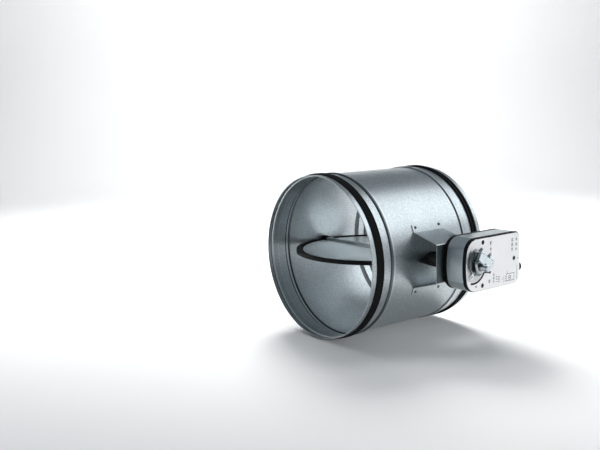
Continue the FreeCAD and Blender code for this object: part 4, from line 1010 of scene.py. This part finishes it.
def area_light(name, place, target, size, power, shown, colour=(1.0, 1.0, 1.0), spread=180.0):
    """Soft box. A matt one only lights matt surfaces, and a glossy one is only seen as a reflection."""
    light = bpy.data.lights.new(name, "AREA")
    light.shape = "RECTANGLE"
    light.size, light.size_y = size
    light.energy = power
    light.color = colour
    light.spread = math.radians(spread)
    holder = bpy.data.objects.new(name, light)
    bpy.context.scene.collection.objects.link(holder)
    holder.location = Vector(place) * MM
    holder.rotation_mode = "QUATERNION"
    holder.rotation_quaternion = ((Vector(target) - Vector(place)) * MM).to_track_quat("-Z", "Y")
    holder.visible_camera = False
    holder.visible_glossy = shown == "glossy"
    holder.visible_diffuse = shown == "matt"


def studio():
    """Cool sky that is brighter towards -X, and the soft boxes."""
    world = bpy.data.worlds.new("studio")
    bpy.context.scene.world = world
    world.use_nodes = True
    tree = world.node_tree
    background = tree.nodes["Background"]
    background.inputs["Color"].default_value = (0.84, 0.93, 1.0, 1.0)
    place = tree.nodes.new("ShaderNodeTexCoord")
    parts = tree.nodes.new("ShaderNodeSeparateXYZ")
    ramp = tree.nodes.new("ShaderNodeMapRange")
    tree.links.new(place.outputs["Generated"], parts.inputs["Vector"])
    tree.links.new(parts.outputs["X"], ramp.inputs["Value"])
    for name, value in (("From Min", -0.5), ("From Max", 0.8), ("To Min", 0.29), ("To Max", 0.11)):
        ramp.inputs[name].default_value = value
    tree.links.new(ramp.outputs["Result"], background.inputs["Strength"])
    overhead, card = (0.95, 0.98, 1.0), (0.93, 0.97, 1.0)
    area_light("overhead", (960, 1220, 1260), (0, 0, 0), (1.9, 1.5), 17.0, "glossy", overhead)
    area_light("floor_wash", (-1700, 1000, 2000), (-300, 100, -160), (1.2, 1.2), 28.0, "matt", spread=100.0)
    area_light("back_wash", (-700, 500, 2500), (-2500, 1900, 100), (2.0, 2.0), 75.0, "matt", spread=150.0)
    area_light("front_wash", (2000, -250, 500), (250, 50, 0), (0.5, 0.5), 1.65, "matt", spread=50.0)
    area_light("right_card", (1350, 1080, 40), (281, 0, 20), (1.3, 0.5), 3.0, "glossy", card)
    area_light("left_card", (-1500, -1450, 130), (0, 0, 60), (1.4, 0.58), 2.2, "glossy", card)


def camera():
    """Camera fitted to the outlines in the photo."""
    aside, ahead = math.sin(CAMERA_AZIMUTH), math.cos(CAMERA_AZIMUTH)
    level = math.cos(CAMERA_ELEVATION)
    back = Vector((aside * level, -ahead * level, math.sin(CAMERA_ELEVATION)))
    right = Vector((ahead, aside, 0.0))
    up = back.cross(right)
    rolled_right = right * math.cos(CAMERA_ROLL) + up * math.sin(CAMERA_ROLL)
    rolled_up = up * math.cos(CAMERA_ROLL) - right * math.sin(CAMERA_ROLL)
    data = bpy.data.cameras.new("camera")
    data.lens = CAMERA_LENS
    data.sensor_width = 36.0
    data.clip_start = 0.05
    data.clip_end = 50.0
    holder = bpy.data.objects.new("camera", data)
    bpy.context.scene.collection.objects.link(holder)
    axes = Matrix((rolled_right, rolled_up, back)).transposed().to_4x4()
    holder.matrix_world = Matrix.Translation(Vector(CAMERA_PLACE) * MM) @ axes
    bpy.context.scene.camera = holder


stage()
studio()
camera()
bpy.context.scene.view_settings.view_transform = "Standard"
